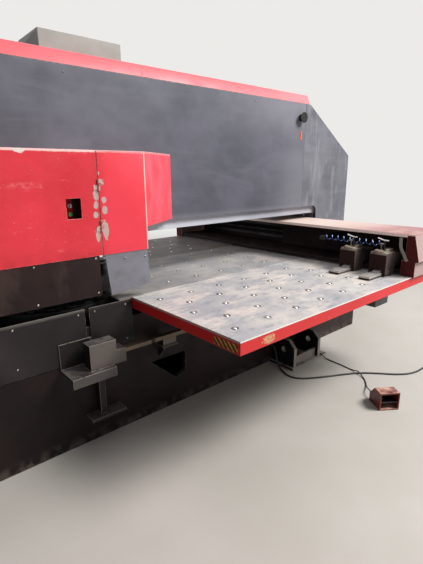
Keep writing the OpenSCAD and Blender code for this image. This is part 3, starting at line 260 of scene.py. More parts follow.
class Finish:
    """A procedural finish on Object coordinates. Its methods add nodes and give an output, but
    close gives the material."""

    def __init__(self, name):
        self.material = bpy.data.materials.new(name)
        self.material.use_nodes = True
        self.tree = self.material.node_tree
        self.tree.nodes.clear()
        where = self.add("ShaderNodeTexCoord")
        self.place, self.facing = where.outputs["Object"], where.outputs["Normal"]
        self.axes = self.add("ShaderNodeSeparateXYZ", {"Vector": self.place}).outputs
        self.faces = self.add("ShaderNodeSeparateXYZ", {"Vector": self.facing}).outputs

    def add(self, kind, inputs=None, **settings):
        """A node of a kind, each input set to a value or linked to another node's output."""
        node = self.tree.nodes.new(kind)
        for key, value in settings.items():
            setattr(node, key, value)
        for socket, value in (inputs or {}).items():
            if isinstance(value, bpy.types.NodeSocket):
                self.tree.links.new(value, node.inputs[socket])
            else:
                node.inputs[socket].default_value = value
        return node

    def noise(self, scale, detail=4.0, rough=0.55, stretch=None, warp=0.0):
        """Noise around 0.5, finer with scale, stretched along the axes and bent by warp."""
        place = self.place
        if stretch:
            place = self.add("ShaderNodeMapping", {"Vector": place, "Scale": stretch}).outputs[0]
        return self.add("ShaderNodeTexNoise", {"Vector": place, "Scale": scale, "Detail": detail,
                                               "Roughness": rough, "Distortion": warp}).outputs["Fac"]

    def step(self, value, low, high):
        """0 below low, 1 above high and smooth between; low above high turns it round."""
        turned_round = low > high
        ends = {"From Min": min(low, high), "From Max": max(low, high),
                "To Min": float(turned_round), "To Max": float(not turned_round)}
        return self.add("ShaderNodeMapRange", {"Value": value, **ends},
                        interpolation_type="SMOOTHSTEP").outputs["Result"]

    def spread(self, value, low, high):
        """Noise between 0.3 and 0.7 spread over low to high."""
        return self.add("ShaderNodeMapRange", {"Value": value, "From Min": 0.3, "From Max": 0.7,
                                               "To Min": low, "To Max": high}).outputs["Result"]

    def math(self, operation, a, b):
        """The result of an operation on two values."""
        return self.add("ShaderNodeMath", {0: a, 1: b}, operation=operation).outputs[0]

    def both(self, *parts):
        """The product of the parts: what all of them share."""
        out = parts[0]
        for part in parts[1:]:
            out = self.math("MULTIPLY", out, part)
        return out

    def either(self, *parts):
        """The largest of the parts: what any of them covers."""
        out = parts[0]
        for part in parts[1:]:
            out = self.math("MAXIMUM", out, part)
        return out

    def spot(self, centre, size, sway, scale):
        """1 inside an ellipsoid, with an outline that noise of a scale moves by up to sway."""
        moved = self.add("ShaderNodeVectorMath", {0: self.place, 1: centre},
                         operation="SUBTRACT").outputs[0]
        scaled = self.add("ShaderNodeVectorMath", {0: moved, 1: [1 / s for s in size]},
                          operation="MULTIPLY").outputs[0]
        reach = self.add("ShaderNodeVectorMath", {0: scaled}, operation="LENGTH").outputs["Value"]
        uneven = self.math("MULTIPLY_ADD", self.noise(scale, 3.0), 2 * sway)
        uneven.node.inputs[2].default_value = -sway
        return self.step(self.math("ADD", reach, uneven), 1.05, 0.9)

    def mix(self, amount, a, b):
        """Colour a where amount is 0 and colour b where it is 1."""
        node = self.add("ShaderNodeMix", {0: amount, 6: a, 7: b}, data_type="RGBA", clamp_factor=True)
        return node.outputs[2]

    def coat(self, tone, *layers):
        """Lays each layer of (mask maker, colour, strength) over the tone, in turn."""
        for mask, colour, strength in layers:
            tone = self.mix(self.both(mask(self), strength), tone, colour)
        return tone

    def rim(self):
        """1 on the rounded edges of an eased node."""
        return self.add("ShaderNodeAttribute", attribute_name="rim").outputs["Fac"]

    def close(self, colour, rough, metal, height, depth, glow=None, **more):
        """Links colour, roughness and bump to the shader, mixes in glow, a mask and a colour, and
        gives the material."""
        bump = self.add("ShaderNodeBump", {"Height": height, "Distance": depth, "Strength": 1.0})
        surface = self.add("ShaderNodeBsdfPrincipled", {
            "Base Color": colour, "Roughness": rough, "Metallic": metal, "Normal": bump.outputs[0],
            **more}).outputs[0]
        if glow:
            light = self.add("ShaderNodeEmission", {"Color": glow[1]}).outputs[0]
            surface = self.add("ShaderNodeMixShader", {0: glow[0], 1: surface, 2: light}).outputs[0]
        self.add("ShaderNodeOutputMaterial", {"Surface": surface})
        return self.material


def towards(axis, sign):
    """Mask of the faces that look along an axis."""
    return lambda f: f.step(f.math("MULTIPLY", f.faces[axis], sign), 0.6, 0.95)


def past(axis, low, high):
    """Mask that goes from 0 at low to 1 at high along an axis; low above high turns it round."""
    return lambda f: f.step(f.axes[axis], low, high)


def ragged(axis, low, high, scale, amount):
    """Like past, with an outline that noise of a scale moves by up to amount."""
    return lambda f: f.step(f.math("ADD", f.axes[axis], f.math("MULTIPLY", f.noise(scale), amount)),
                            low, high)


def clouds(low, high, *noise, **more):
    """Mask of the noise: 0 where it is under low and 1 where it is over high."""
    return lambda f: f.step(f.noise(*noise, **more), low, high)


def overlap(*masks):
    """Mask of what all the masks share."""
    return lambda f: f.both(*(mask(f) for mask in masks))


def strip(axis, low, high, soft):
    """Mask between low and high along an axis, with soft ends."""
    return overlap(past(axis, low - soft, low + soft), past(axis, high + soft, high - soft))


def painted(name, colour, deep, edge=None, dust=None, rough=(0.35, 0.55), metal=0.0,
            grain=220.0, layers=(), worn=(0.46, 0.56), shine=0.5):
    """Paint over steel: cloudy between colour and deep, with fine orange peel, edge where the rims
    have worn, dust on what faces up, and further layers of (mask maker, colour, strength)."""
    f = Finish(name)
    cloud = f.noise(3.1, 6.0, 0.6)
    tone = f.coat(f.mix(f.step(cloud, 0.3, 0.7), deep, colour), *layers)
    if dust:
        up = f.both(f.step(f.faces[Z], 0.5, 0.95), f.step(f.noise(9.0, 6.0, 0.7), 0.32, 0.62),
                    dust[1])
        tone = f.mix(up, tone, dust[0])
    if edge:
        tone = f.mix(f.both(f.rim(), f.step(f.noise(34.0, 5.0, 0.65), *worn)), tone, edge)
    gloss = f.spread(f.noise(7.0, 5.0, 0.6), *rough)
    return f.close(tone, gloss, metal, f.noise(grain, 2.0), 0.00015, **{"Specular IOR Level": shine})


def bare(name, colour, deep, rough, brush=(1, 1, 1), metal=0.9, spots=None):
    """Bare metal: two tones in clouds, brushed along one axis, with spots of a colour, a scale and
    a strength."""
    f = Finish(name)
    tone = f.mix(f.step(f.noise(5.0, 6.0, 0.65), 0.32, 0.68), deep, colour)
    if spots:
        tone = f.mix(f.both(f.step(f.noise(spots[1], 4.0, 0.6), 0.56, 0.68), spots[2]), tone, spots[0])
    lines = f.noise(60.0, 3.0, 0.6, stretch=brush)
    gloss = f.spread(f.noise(11.0, 5.0), *rough)
    return f.close(tone, gloss, metal, lines, 0.00012)


def rubber(name, colour):
    """Dull black sheath with dust on top and a fine grain."""
    f = Finish(name)
    dusty = f.both(f.step(f.faces[Z], 0.2, 0.9), f.step(f.noise(14.0, 5.0), 0.35, 0.7), 0.5)
    return f.close(f.mix(dusty, colour, srgb(120, 112, 104)), 0.55, 0.0, f.noise(400.0, 2.0), 0.0001)


SHEATH = rubber("cable_sheath", srgb(34, 33, 34))

# Cables

CABLE_D, SWITCH_D = 0.014, 0.009
# The foot switch: its place in millimetres and its turn, for the end of its cable
FOOT_X, FOOT_Y, FOOT_TURN = 971, -1491, np.radians(-35)
COS_F, SIN_F = np.cos(FOOT_TURN), np.sin(FOOT_TURN)
CONSOLE_ROUTE = np.array((
    (930, -449, 170), (930, -454, 170), (930, -459, 170), (929, -478, 163), (922, -505, 140),
    (912, -530, 90), (900, -560, 40), (886, -600, 12), (868, -640, 7), (850, -690, 7),
    (842, -740, 7), (862, -790, 7), (910, -840, 7), (990, -893, 7), (1080, -944, 7),
    (1180, -998, 7), (1270, -1052, 7), (1350, -1115, 7), (1430, -1200, 7), (1500, -1280, 7),
    (1580, -1342, 7), (1670, -1374, 7), (1790, -1384, 7), (1895, -1384, 7))) / 1000
SWITCH_ROUTE = np.array((
    (1372, -443, 120), (1372, -453, 120), (1372, -473, 116), (1371, -495, 103), (1368, -520, 74),
    (1364, -545, 44), (1359, -575, 27), (1354, -615, 26), (1349, -655, 26), (1344, -694, 26),
    (1340, -722, 14), (1337, -755, 5), (1334, -820, 5), (1329, -900, 5), (1320, -976, 5),
    (1311, -1024, 9), (1301, -1058, 20), (1291, -1085, 20), (1274, -1117, 9), (1240, -1160, 5),
    (1200, -1192, 5), (1155, -1222, 9), (1112, -1250, 22), (1077, -1276, 36),
    *((FOOT_X - 45 * COS_F - y * SIN_F, FOOT_Y - 45 * SIN_F + y * COS_F, 45)
      for y in (194, 180, 170)))) / 1000
COIL_AT, COIL_R, PLUG_X = (1.895, -1.475), 0.077, 1.960
# Degrees of travel along the coil: a point's step, and a shift by one diameter
TURN_STEP, SHIFT = 7.5, 110


def smooth(x, low, high):
    """0 below low, 1 above high and smooth between."""
    t = np.clip((x - low) / (high - low), 0, 1)
    return t * t * (3 - 2 * t)


def coil_path():
    """Five clockwise turns from the top of the coil: three inwards on the floor, then up and two
    outwards on top. Each shift by one diameter lies in a sector of its own. The lead then runs
    straight to the plug and sinks a little to its height."""
    travel = np.arange(TURN_STEP, 1800.1, TURN_STEP)
    inward, outward, upward = (sum(smooth(travel, start, start + SHIFT) for start in starts)
                               for starts in ((225, 585), (1085, 1445), (835,)))
    r = COIL_R + CABLE_D * (1 - inward + outward)
    z = CABLE_D * (0.5 + upward)
    a = np.radians(90 - travel)
    turns = np.column_stack((COIL_AT[0] + r * np.cos(a), COIL_AT[1] + r * np.sin(a), z))
    share = np.linspace(0.006, 1, 9)[:, None]
    last = turns[-1] + (share - share[0]) * (PLUG_X - turns[-1, 0], 0, 0)
    last[:, 2] -= 0.002 * smooth(last[:, 0], PLUG_X - 0.035, PLUG_X)
    return np.vstack((turns, last[1:]))


def cable(name, points, diameter):
    """A round curve of one open spline through the points, with closed ends."""
    curve = bpy.data.curves.new(name, "CURVE")
    curve.dimensions = "3D"
    line = curve.splines.new("POLY")
    line.points.add(len(points) - 1)
    line.points.foreach_set("co", np.column_stack((points, np.ones(len(points)))).ravel())
    line.use_smooth = True
    curve.bevel_depth, curve.bevel_resolution, curve.use_fill_caps = diameter / 2, 3, True
    obj = bpy.data.objects.new(name, curve)
    bpy.context.collection.objects.link(obj)
    obj.data.materials.append(SHEATH)
    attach(obj, "machine")
    return obj


console_line = curved(CONSOLE_ROUTE, 4)
console_line[:, 2] = np.maximum(console_line[:, 2], CABLE_D / 2)
console_line = np.vstack((console_line, coil_path()))
switch_line = curved(SWITCH_ROUTE, 4)
console_cable = cable("console_lead", console_line, CABLE_D)
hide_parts("console_cable", "console_coil")
switch_cable = cable("switch_lead", switch_line, SWITCH_D)
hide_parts("switch_cable")

# Shared finishes

RED, RED_DEEP = srgb(224, 52, 66), srgb(206, 40, 52)
CHARCOAL, CHARCOAL_DEEP = srgb(92, 92, 102), srgb(76, 76, 84)
# The second colour is near black: painted shade on faces that look to -X and in the control recess; the
# rail and the hood use it as well.
DUST, NEAR_BLACK = srgb(178, 168, 156), srgb(14, 10, 10)
GUARD_FACE_Y = -0.477

STEEL = bare("ground_steel", srgb(176, 176, 178), srgb(140, 140, 142), (0.22, 0.4))
CHROME = bare("polished_chrome", srgb(240, 240, 242), srgb(222, 222, 226), (0.1, 0.2), metal=1.0)
BALLS = bare("polished_balls", srgb(255, 255, 255), srgb(244, 244, 244), (0.24, 0.32), metal=0.55)
ZINC = bare("zinc_screws", srgb(172, 170, 164), srgb(126, 124, 120), (0.3, 0.5))
TOOL = bare("oiled_tool_steel", srgb(70, 67, 66), srgb(38, 35, 34), (0.35, 0.55), metal=0.7)


def charcoal(name, tone, deep, swirl, layers=()):
    """Satin charcoal paint with long wipe marks and lighter swirls."""
    wiped = clouds(0.5, 0.68, 2.2, 5.0, 0.6, stretch=(0.6, 1, 1.6), warp=1.4)
    streaks = clouds(0.52, 0.7, 5.0, 4.0, 0.6, stretch=(0.25, 1, 2.6), warp=0.6)
    lighter = tuple(min(1.0, c * 1.35) for c in tone[:3]) + (1.0,)
    return painted(name, tone, deep, edge=srgb(150, 148, 150), dust=(DUST, 0.6), rough=(0.34, 0.52),
                   layers=((wiped, lighter, swirl), (streaks, lighter, swirl * 0.6), *layers))


# Upright wipe marks
SMEARS = clouds(0.48, 0.66, 6.0, 5.0, 0.7, stretch=(2.4, 1, 0.35), warp=0.8)
# Painted light: the covers are lighter towards the top right and on the right part low down.
COVER = charcoal("cover_paint", CHARCOAL, CHARCOAL_DEEP, 0.3, (
    (overlap(past(X, 0.2, 1.5), past(Z, 1.75, 2.15)), srgb(136, 135, 143), 0.7),
    (overlap(past(X, 1.0, 1.5), past(Z, 1.9, 1.7)), srgb(118, 118, 125), 0.7),
    (past(Z, 1.33, 1.292), srgb(120, 120, 128), 0.45)))
# A lighter copy of the cover paint for the right covers: painted light, as they face the light more.
COVER_LIT = charcoal("side_panel_paint", srgb(114, 114, 121), srgb(92, 92, 99), 0.4,
                       ((SMEARS, srgb(158, 158, 165), 0.4),))
COVER_DARK = charcoal("end_paint", srgb(84, 86, 94), srgb(66, 68, 74), 0.3)
FRAME_GREY = painted("frame_paint", srgb(84, 84, 88), srgb(62, 62, 66), edge=srgb(130, 126, 122),
                     dust=(DUST, 0.4))
BEAM_GREY = painted("beam_paint", srgb(214, 215, 222), srgb(186, 188, 196), dust=(DUST, 0.5),
                    layers=((past(X, -0.1, 1.3), srgb(150, 150, 158), 0.7),))
BED = painted("bed_paint", srgb(31, 18, 17), srgb(19, 11, 10), edge=srgb(74, 66, 62),
              dust=(srgb(86, 76, 70), 0.7), rough=(0.4, 0.7), shine=0.25, layers=(
                  (clouds(0.48, 0.66, 1.7, 5.0, 0.6, stretch=(0.7, 1, 1)), srgb(46, 31, 30), 0.6),
                  (past(X, 0.1, 0.6), srgb(50, 38, 38), 0.6),
                  (overlap(past(Z, 0.09, 0.0), clouds(0.4, 0.6, 18.0, 5.0)), srgb(96, 86, 78), 0.6)))
# Painted light on the faces that look to -Y, and painted shade, near black, on those that look to -X.
BRACKET = painted("bracket_paint", srgb(42, 34, 33), srgb(24, 18, 18), edge=srgb(134, 126, 118),
                  dust=(srgb(104, 98, 94), 0.7), worn=(0.34, 0.46), shine=0.3, layers=(
                      (overlap(towards(Y, -1), strip(Z, 0.536, 0.69, 0.006), past(Y, -0.50, -0.51)),
                       srgb(112, 101, 93), 0.9),
                      (overlap(towards(Y, -1), past(Y, -0.57, -0.575)), srgb(84, 78, 76), 0.7),
                      (towards(X, -1), NEAR_BLACK, 0.75)))
# Painted light on the faces that look to -Y, and painted shade, near black, on those that look to -X.
LUG = painted("lug_paint", srgb(70, 65, 63), srgb(44, 40, 40), edge=srgb(150, 144, 136),
              dust=(srgb(186, 176, 164), 0.95), worn=(0.4, 0.52), shine=0.3,
              layers=((towards(Y, -1), srgb(176, 166, 156), 0.85), (towards(X, -1), NEAR_BLACK, 0.94)))
STUB = painted("stub_paint", srgb(34, 32, 34), srgb(22, 20, 22), edge=srgb(110, 104, 100), shine=0.4)
SKIRT = painted("skirt_paint", srgb(44, 27, 25), srgb(27, 15, 14), edge=srgb(96, 72, 60),
                dust=(DUST, 0.4), rough=(0.4, 0.65), shine=0.25, layers=(
                    (clouds(0.5, 0.66, 4.0, 5.0, 0.65, stretch=(1, 1, 0.5)), srgb(66, 50, 46), 0.6),))
# Painted highlight along the top edge; the left part lighter in cloudy patches, partly dust and partly
# painted light; the right part darker as the painted shadow of the wing table.
LOWER = painted("lower_cover_paint", srgb(40, 34, 35), srgb(27, 21, 22), edge=srgb(120, 114, 108),
                dust=(DUST, 0.7), rough=(0.4, 0.65), shine=0.3, layers=(
                    (ragged(Z, 0.838, 0.856, 12.0, 0.012), srgb(104, 98, 94), 0.7),
                    (overlap(past(X, -0.9, -1.5), clouds(0.3, 0.6, 3.0, 5.0)), srgb(66, 55, 54), 0.9),
                    (past(X, -0.70, -0.67), srgb(28, 22, 23), 0.8)))
ROOF = painted("roof_paint", srgb(212, 84, 92), srgb(196, 70, 78), edge=srgb(232, 184, 180),
               dust=(srgb(206, 150, 148), 0.6), worn=(0.3, 0.42),
               layers=((past(X, -0.9, 0.1), srgb(196, 66, 76), 0.5),
                       (past(X, 0.7, 1.5), srgb(212, 116, 120), 0.8)))
# Faces that look to -X are painted near black as painted shade; the hood is near black left of x -0.67 too.
HOOD = painted("hood_paint", srgb(158, 154, 146), srgb(138, 135, 128), edge=srgb(108, 100, 92),
               dust=(DUST, 0.7),
               layers=((towards(X, -1), NEAR_BLACK, 1.0), (past(X, -0.664, -0.672), NEAR_BLACK, 0.95)))


def guard_red(name, layers=()):
    """Bright guard paint, pale along its top edge, with scuffs and grime low down."""
    scuffs = clouds(0.62, 0.7, 16.0, 6.0, 0.7, stretch=(0.5, 1, 1.8))
    foot = overlap(past(Z, 1.24, 1.156), clouds(0.35, 0.6, 11.0, 5.0))
    specks = clouds(0.66, 0.7, 90.0, 3.0, 0.6)
    top = ragged(Z, 1.708, 1.713, 26.0, 0.008)
    return painted(name, RED, RED_DEEP, edge=srgb(232, 150, 146), dust=(srgb(236, 190, 184), 0.9),
                   rough=(0.3, 0.46), worn=(0.4, 0.5), layers=(
                       (scuffs, srgb(240, 104, 112), 0.55), (foot, srgb(178, 30, 38), 0.5),
                       (specks, srgb(246, 150, 150), 0.5), (top, srgb(244, 206, 200), 0.9), *layers))


def worn_to_metal(*places):
    """Mask of patches worn through on the guard's face, each at (x, z) with its half sizes."""
    return lambda f: f.either(*(f.spot((x, GUARD_FACE_Y, z), (a, 0.02, b), 0.5, 46.0)
                                for x, z, a, b in places))


PATCHES = ((-0.549, 1.549, 0.009, 0.015), (-0.583, 1.487, 0.017, 0.030), (-0.588, 1.434, 0.014, 0.022),
           (-0.539, 1.458, 0.014, 0.020), (-0.537, 1.404, 0.015, 0.024), (-0.593, 1.381, 0.015, 0.018),
           (-0.588, 1.276, 0.014, 0.042), (-0.540, 1.290, 0.017, 0.050), (-0.562, 1.600, 0.007, 0.008))
TOP_CHIP = (-0.954, 1.712, 0.028, 0.016)
WORN = (worn_to_metal(*PATCHES), srgb(184, 166, 156), 0.95)
GUARD = guard_red("guard_paint", (
    WORN, (worn_to_metal(TOP_CHIP), srgb(226, 216, 208), 0.9),
    (overlap(strip(X, -1.037, -0.863, 0.01), strip(Z, 1.530, 1.560, 0.006),
             clouds(0.44, 0.66, 26.0, 5.0, 0.75, stretch=(1, 1, 2.2))), srgb(240, 120, 124), 0.55),
    (past(X, -0.590, -0.567), srgb(150, 60, 60), 0.25)))
# Painted light: the faces that look to +X and the slanted part right of x -0.26 are lighter pink, partly
# paler paint.
DOOR = guard_red("door_paint", (
    (past(X, -0.59, -0.5), srgb(236, 60, 76), 0.7), (towards(X, 1), srgb(240, 80, 96), 0.8), WORN,
    (overlap(past(X, -0.262, -0.255), clouds(0.2, 0.85, 9.0, 6.0, 0.6, stretch=(1, 1, 0.5))),
     srgb(244, 112, 124), 0.7),
    (strip(X, -0.275, -0.267, 0.0015), srgb(255, 196, 186), 0.9)))


def table_steel(name):
    """Dusty table plate: mottled in two sizes, scratched along the travel, with painted shade in
    steps towards the rear and on the faces that look to -X, and a bright front edge."""
    f = Finish(name)
    uneven = (8.0, 0.03)
    tone = f.coat(
        f.mix(f.step(f.noise(2.6, 7.0, 0.7), 0.34, 0.66), srgb(166, 165, 168), srgb(206, 200, 192)),
        (clouds(0.52, 0.64, 4.4, 4.0, 0.6, stretch=(0.7, 1.3, 1)), srgb(222, 209, 198), 0.6),
        (clouds(0.5, 0.64, 13.0, 6.0, 0.75, stretch=(0.55, 1.4, 1)), srgb(138, 141, 148), 0.6),
        (clouds(0.6, 0.7, 60.0, 4.0, 0.7, stretch=(0.6, 1, 1)), srgb(96, 90, 88), 0.5),
        (clouds(0.66, 0.7, 26.0, 3.0, 0.7, stretch=(0.12, 2.2, 1)), srgb(232, 228, 224), 0.3),
        # Painted shade: darker in steps from y -0.42 over the centre table, more so on its left, from y 0.1
        # in the shade of the upper covers and from y 0.46 over the rear wing
        (ragged(Y, -0.43, -0.42, *uneven), srgb(118, 112, 108), 0.3),
        (overlap(ragged(Y, -0.43, -0.42, *uneven), past(X, 0.5, -0.1)), srgb(108, 103, 101), 0.5),
        (ragged(Y, 0.10, 0.2, *uneven), srgb(100, 90, 84), 0.45),
        (ragged(Y, 0.455, 0.465, *uneven), srgb(80, 68, 62), 0.6),
        (towards(Y, -1), srgb(214, 70, 70), 1.0),
        (overlap(towards(Y, -1), past(Z, 0.8575, 0.8585)), srgb(240, 236, 232), 1.0),
        # Painted shade on the faces that look to -X
        (towards(X, -1), srgb(150, 134, 124), 1.0))
    gloss = f.spread(f.noise(6.0, 6.0, 0.65), 0.38, 0.6)
    return f.close(tone, gloss, 0.2, f.noise(180.0, 3.0, 0.7), 0.00012, **{"Specular IOR Level": 0.4})


def apron_paint(name):
    """Red apron with a common black and yellow hazard pattern at the left corner, a scuffed patch
    near the front corner, painted shade on the faces that look to -X and a dull lower edge."""
    f = Finish(name)
    corner = overlap(past(X, -0.380, -0.384), strip(Y, -1.366, -1.205, 0.002),
                     strip(Z, 0.802, 0.843, 0.002))
    stripes = lambda f: f.step(f.math("PINGPONG", f.math("SUBTRACT", f.axes[Z], f.axes[Y]), 0.0165),
                               0.0078, 0.0088)
    scuffed = lambda f: f.spot((-0.188, -1.385, 0.826), (0.048, 0.03, 0.021), 0.9, 60.0)
    yellow = f.mix(f.step(f.noise(50.0, 4.0), 0.4, 0.62), srgb(176, 136, 52), srgb(140, 98, 44))
    tone = f.coat(
        f.mix(f.step(f.noise(3.1, 6.0, 0.6), 0.3, 0.7), srgb(206, 28, 32), srgb(220, 38, 42)),
        (clouds(0.64, 0.7, 40.0, 5.0, 0.7, stretch=(0.6, 1, 1)), srgb(214, 120, 112), 0.5),
        # Painted shade on the faces that look to -X
        (towards(X, -1), srgb(134, 10, 6), 0.75),
        (overlap(scuffed, clouds(0.42, 0.5, 95.0, 4.0, 0.7)), srgb(206, 176, 130), 0.85),
        (corner, yellow, 0.9),
        (overlap(corner, stripes), srgb(30, 18, 16), 1.0),
        (past(Z, 0.7985, 0.7965), srgb(120, 60, 56), 0.7))
    return f.close(tone, 0.42, 0.0, f.noise(200.0, 2.0), 0.00015)


def beam_top_paint(name):
    """Sun-faded sheet: cream at the far end going over to pink, dusty and blotched."""
    f = Finish(name)
    tone = f.coat(
        f.mix(f.step(f.axes[Y], -0.5, -1.3), srgb(210, 190, 180), srgb(160, 112, 110)),
        (clouds(0.42, 0.62, 4.0, 6.0, 0.65), srgb(204, 180, 170), 0.4),
        (clouds(0.6, 0.72, 24.0, 5.0, 0.7), srgb(150, 106, 100), 0.4),
        (towards(X, -1), srgb(244, 222, 212), 1.0))
    return f.close(tone, 0.55, 0.0, f.noise(150.0, 2.0), 0.00015)


TABLE = table_steel("table_plate")
APRON = apron_paint("apron_paint")
BEAM_TOP = beam_top_paint("faded_top_paint")
# Painted shade on the faces that look to -X and painted light on those that look to -Y.
CAP = painted("cap_paint", srgb(150, 22, 30), srgb(110, 12, 18), edge=srgb(226, 166, 160),
              dust=(srgb(206, 150, 146), 0.8), shine=0.2, worn=(0.2, 0.3),
              layers=((towards(X, -1), srgb(58, 6, 7), 0.9), (towards(Y, -1), srgb(190, 172, 166), 0.75)))
BEAM_DARK = painted("channel_paint", srgb(38, 25, 26), srgb(24, 15, 16), edge=srgb(70, 52, 48),
                    dust=(srgb(70, 56, 52), 0.6), rough=(0.5, 0.75), shine=0.15)
# Painted shade on the faces that look to -X.
CLAMP = painted("clamp_paint", srgb(94, 82, 78), srgb(62, 52, 50), edge=srgb(150, 136, 122),
                dust=(srgb(150, 138, 122), 0.95), rough=(0.5, 0.8), shine=0.12,
                layers=((towards(X, -1), srgb(36, 17, 13), 0.96),))
JAW = bare("jaw_plates", srgb(196, 190, 184), srgb(158, 152, 146), (0.3, 0.5), metal=0.5,
           spots=(srgb(90, 80, 74), 30.0, 0.4))
FLAP = bare("flap_sheet", srgb(130, 129, 136), srgb(114, 113, 120), (0.4, 0.55), brush=(0.1, 1, 3),
            metal=0.25, spots=(srgb(104, 98, 100), 9.0, 0.35))
HINGE = painted("worn_hinges", srgb(190, 96, 92), srgb(164, 62, 62), edge=srgb(206, 190, 180),
                rough=(0.35, 0.6), layers=((clouds(0.42, 0.5, 60.0, 5.0, 0.7), srgb(196, 168, 158), 0.9),))
# Painted shade on the faces that look to -X.
CAST = painted("cast_paint", srgb(124, 40, 30), srgb(84, 24, 18), edge=srgb(206, 150, 134),
               dust=(srgb(214, 166, 148), 0.95), grain=120.0, worn=(0.36, 0.5),
               layers=((towards(X, -1), srgb(92, 32, 26), 0.5),))
# Painted highlight: whitish on the faces that look up and towards -X.
HOSE = painted("blue_hose", srgb(20, 44, 116), srgb(10, 22, 66), rough=(0.06, 0.12), layers=(
    (lambda f: f.both(f.step(f.faces[Z], 0.5, 0.8), f.step(f.faces[X], 0.3, -0.2)),
     srgb(176, 208, 240), 0.85),))
MOTOR = painted("motor_paint", srgb(54, 58, 62), srgb(38, 41, 45), edge=srgb(120, 120, 118))
TANK = painted("tank_paint", srgb(120, 136, 118), srgb(98, 112, 96), edge=srgb(150, 150, 140),
               dust=(DUST, 0.6))
CYLINDER = painted("cylinder_paint", srgb(96, 110, 124), srgb(74, 86, 100), edge=srgb(150, 150, 150))
# Painted shade: the recess is near black right of x -0.69.
RECESS = painted("recess_paint", srgb(200, 34, 42), srgb(170, 24, 32), rough=(0.5, 0.7), shine=0.3,
                 layers=((past(X, -0.696, -0.688), NEAR_BLACK, 0.95),))
GREEN = painted("green_button", srgb(56, 214, 116), srgb(40, 190, 96), rough=(0.2, 0.3))
KNOB = painted("grey_knob", srgb(206, 208, 212), srgb(180, 182, 186), rough=(0.35, 0.5))
PLUG = painted("plug_shell", srgb(52, 54, 58), srgb(34, 36, 38), rough=(0.4, 0.6))
BLACK_PLASTIC = painted("black_nylon", srgb(44, 43, 45), srgb(32, 31, 33), rough=(0.4, 0.55))
BEIGE = painted("dusty_castings", srgb(146, 134, 118), srgb(108, 97, 86), edge=srgb(176, 164, 148),
                rough=(0.5, 0.75), shine=0.3)
STRAP = painted("strap_paint", srgb(142, 142, 130), srgb(112, 112, 104), edge=srgb(170, 168, 156))
TAG = painted("orange_tag", srgb(226, 104, 52), srgb(206, 84, 40), rough=(0.4, 0.55))
RAIL = painted("rail_surface", srgb(112, 96, 80), srgb(78, 66, 56), edge=srgb(150, 138, 122),
               rough=(0.3, 0.5), metal=0.5, dust=(srgb(120, 108, 92), 0.7),
               layers=((strip(X, -0.328, -0.300, 0.002), NEAR_BLACK, 0.95),))

for node, width, finish in (
        ("bed", 0.004, BED), ("columns", 0.003, FRAME_GREY), ("upper_beam", 0.003, BEAM_GREY),
        ("cover_battens", 0.001, FRAME_GREY), ("upper_covers", 0.0012, COVER),
        ("right_covers", 0.0012, COVER_LIT), ("column_covers", 0.0012, COVER),
        ("roof_panels", 0.001, ROOF), ("end_covers", 0.001, COVER_DARK), ("roof_hood", 0.0015, HOOD),
        ("guard_front", 0.0012, GUARD), ("guard_rear", 0.0012, GUARD), ("skirts", 0.001, SKIRT),
        ("lower_covers", 0.0015, LOWER), ("control_recess", 0.0004, RECESS),
        ("start_button", 0.0008, GREEN), ("selector_knob", 0.0006, KNOB), ("turret_door", 0.0012, DOOR),
        ("door_flap", 0.0008, FLAP), ("hinge_leaves", 0.0006, HINGE), ("door_leaves", 0.0006, HINGE),
        ("centre_table", 0.0008, TABLE), ("side_rails", 0.0015, RAIL), ("rail_brackets", 0.0018, BRACKET),
        ("transport_lugs", 0.002, LUG), ("lifting_stubs", 0.0015, STUB), ("upper_turret", 0.001, TOOL),
        ("upper_punches", 0.0, TOOL), ("lower_turret", 0.001, TOOL), ("turret_bearings", 0.001, STEEL),
        ("striking_punch", 0.0, TOOL), ("striker", 0.001, CHROME), ("striker_cylinder", 0.0015, CYLINDER),
        ("hydraulic_tank", 0.003, TANK), ("carriage_beam", 0.0025, BEAM_DARK),
        ("beam_top_cover", 0.001, BEAM_TOP),
        ("end_caps", 0.001, CAP), ("cross_rails", 0.001, TOOL), ("wing_tables", 0.0008, TABLE),
        ("wing_aprons", 0.001, APRON), ("wing_frames", 0.0015, FRAME_GREY), ("x_screw", 0.0008, CHROME),
        ("x_drive", 0.0015, MOTOR), ("y_screw", 0.0008, TOOL), ("y_drive", 0.0015, MOTOR),
        ("clamp_bar", 0.0015, BEAM_DARK), ("clamp_bodies", 0.002, CLAMP), ("clamp_1_jaw", 0.0008, JAW),
        ("clamp_2_jaw", 0.0008, JAW), ("foot_switch", 0.0025, CAST), ("foot_pedal", 0.0015, STUB)):
    eased(node, width, finish)


# Transfer balls

BALL_R, BALL_RISE, TABLE_Z = 0.011, 0.004, 0.865
PITCH, CENTRE_PITCH = 0.238, 0.248
WING_SPOTS = [(x, side * y, TABLE_Z)
              for start, rows in ((-0.284, (1.246, 0.924, 0.602)), (-0.187, (1.085, 0.763)))
              for x in (start + PITCH * np.arange(6)) for y in rows for side in (1, -1)]
CENTRE_SPOTS = [(x, y, TABLE_Z) for x in (-0.007 + CENTRE_PITCH * np.arange(5))
                for y in (-0.299, -0.083, 0.142, 0.377)]
CUP = ((0.0102, -0.0005), (0.0112, 0.0005), (0.0126, 0.0012), (0.0150, 0.0019), (0.0180, 0.0020),
       (0.0203, 0.0016), (0.0210, 0.0006), (0.0210, 0.0), (0.0170, 0.0), (0.0170, -0.0090),
       (0.0, -0.0090))
CUPS = bare("ball_cups", srgb(150, 144, 138), srgb(104, 98, 94), (0.35, 0.5), metal=0.4)
BALL = [(BALL_R * np.cos(t), BALL_RISE - BALL_R + BALL_R * np.sin(t))
        for t in np.radians(np.linspace(-35, 90, 9))]
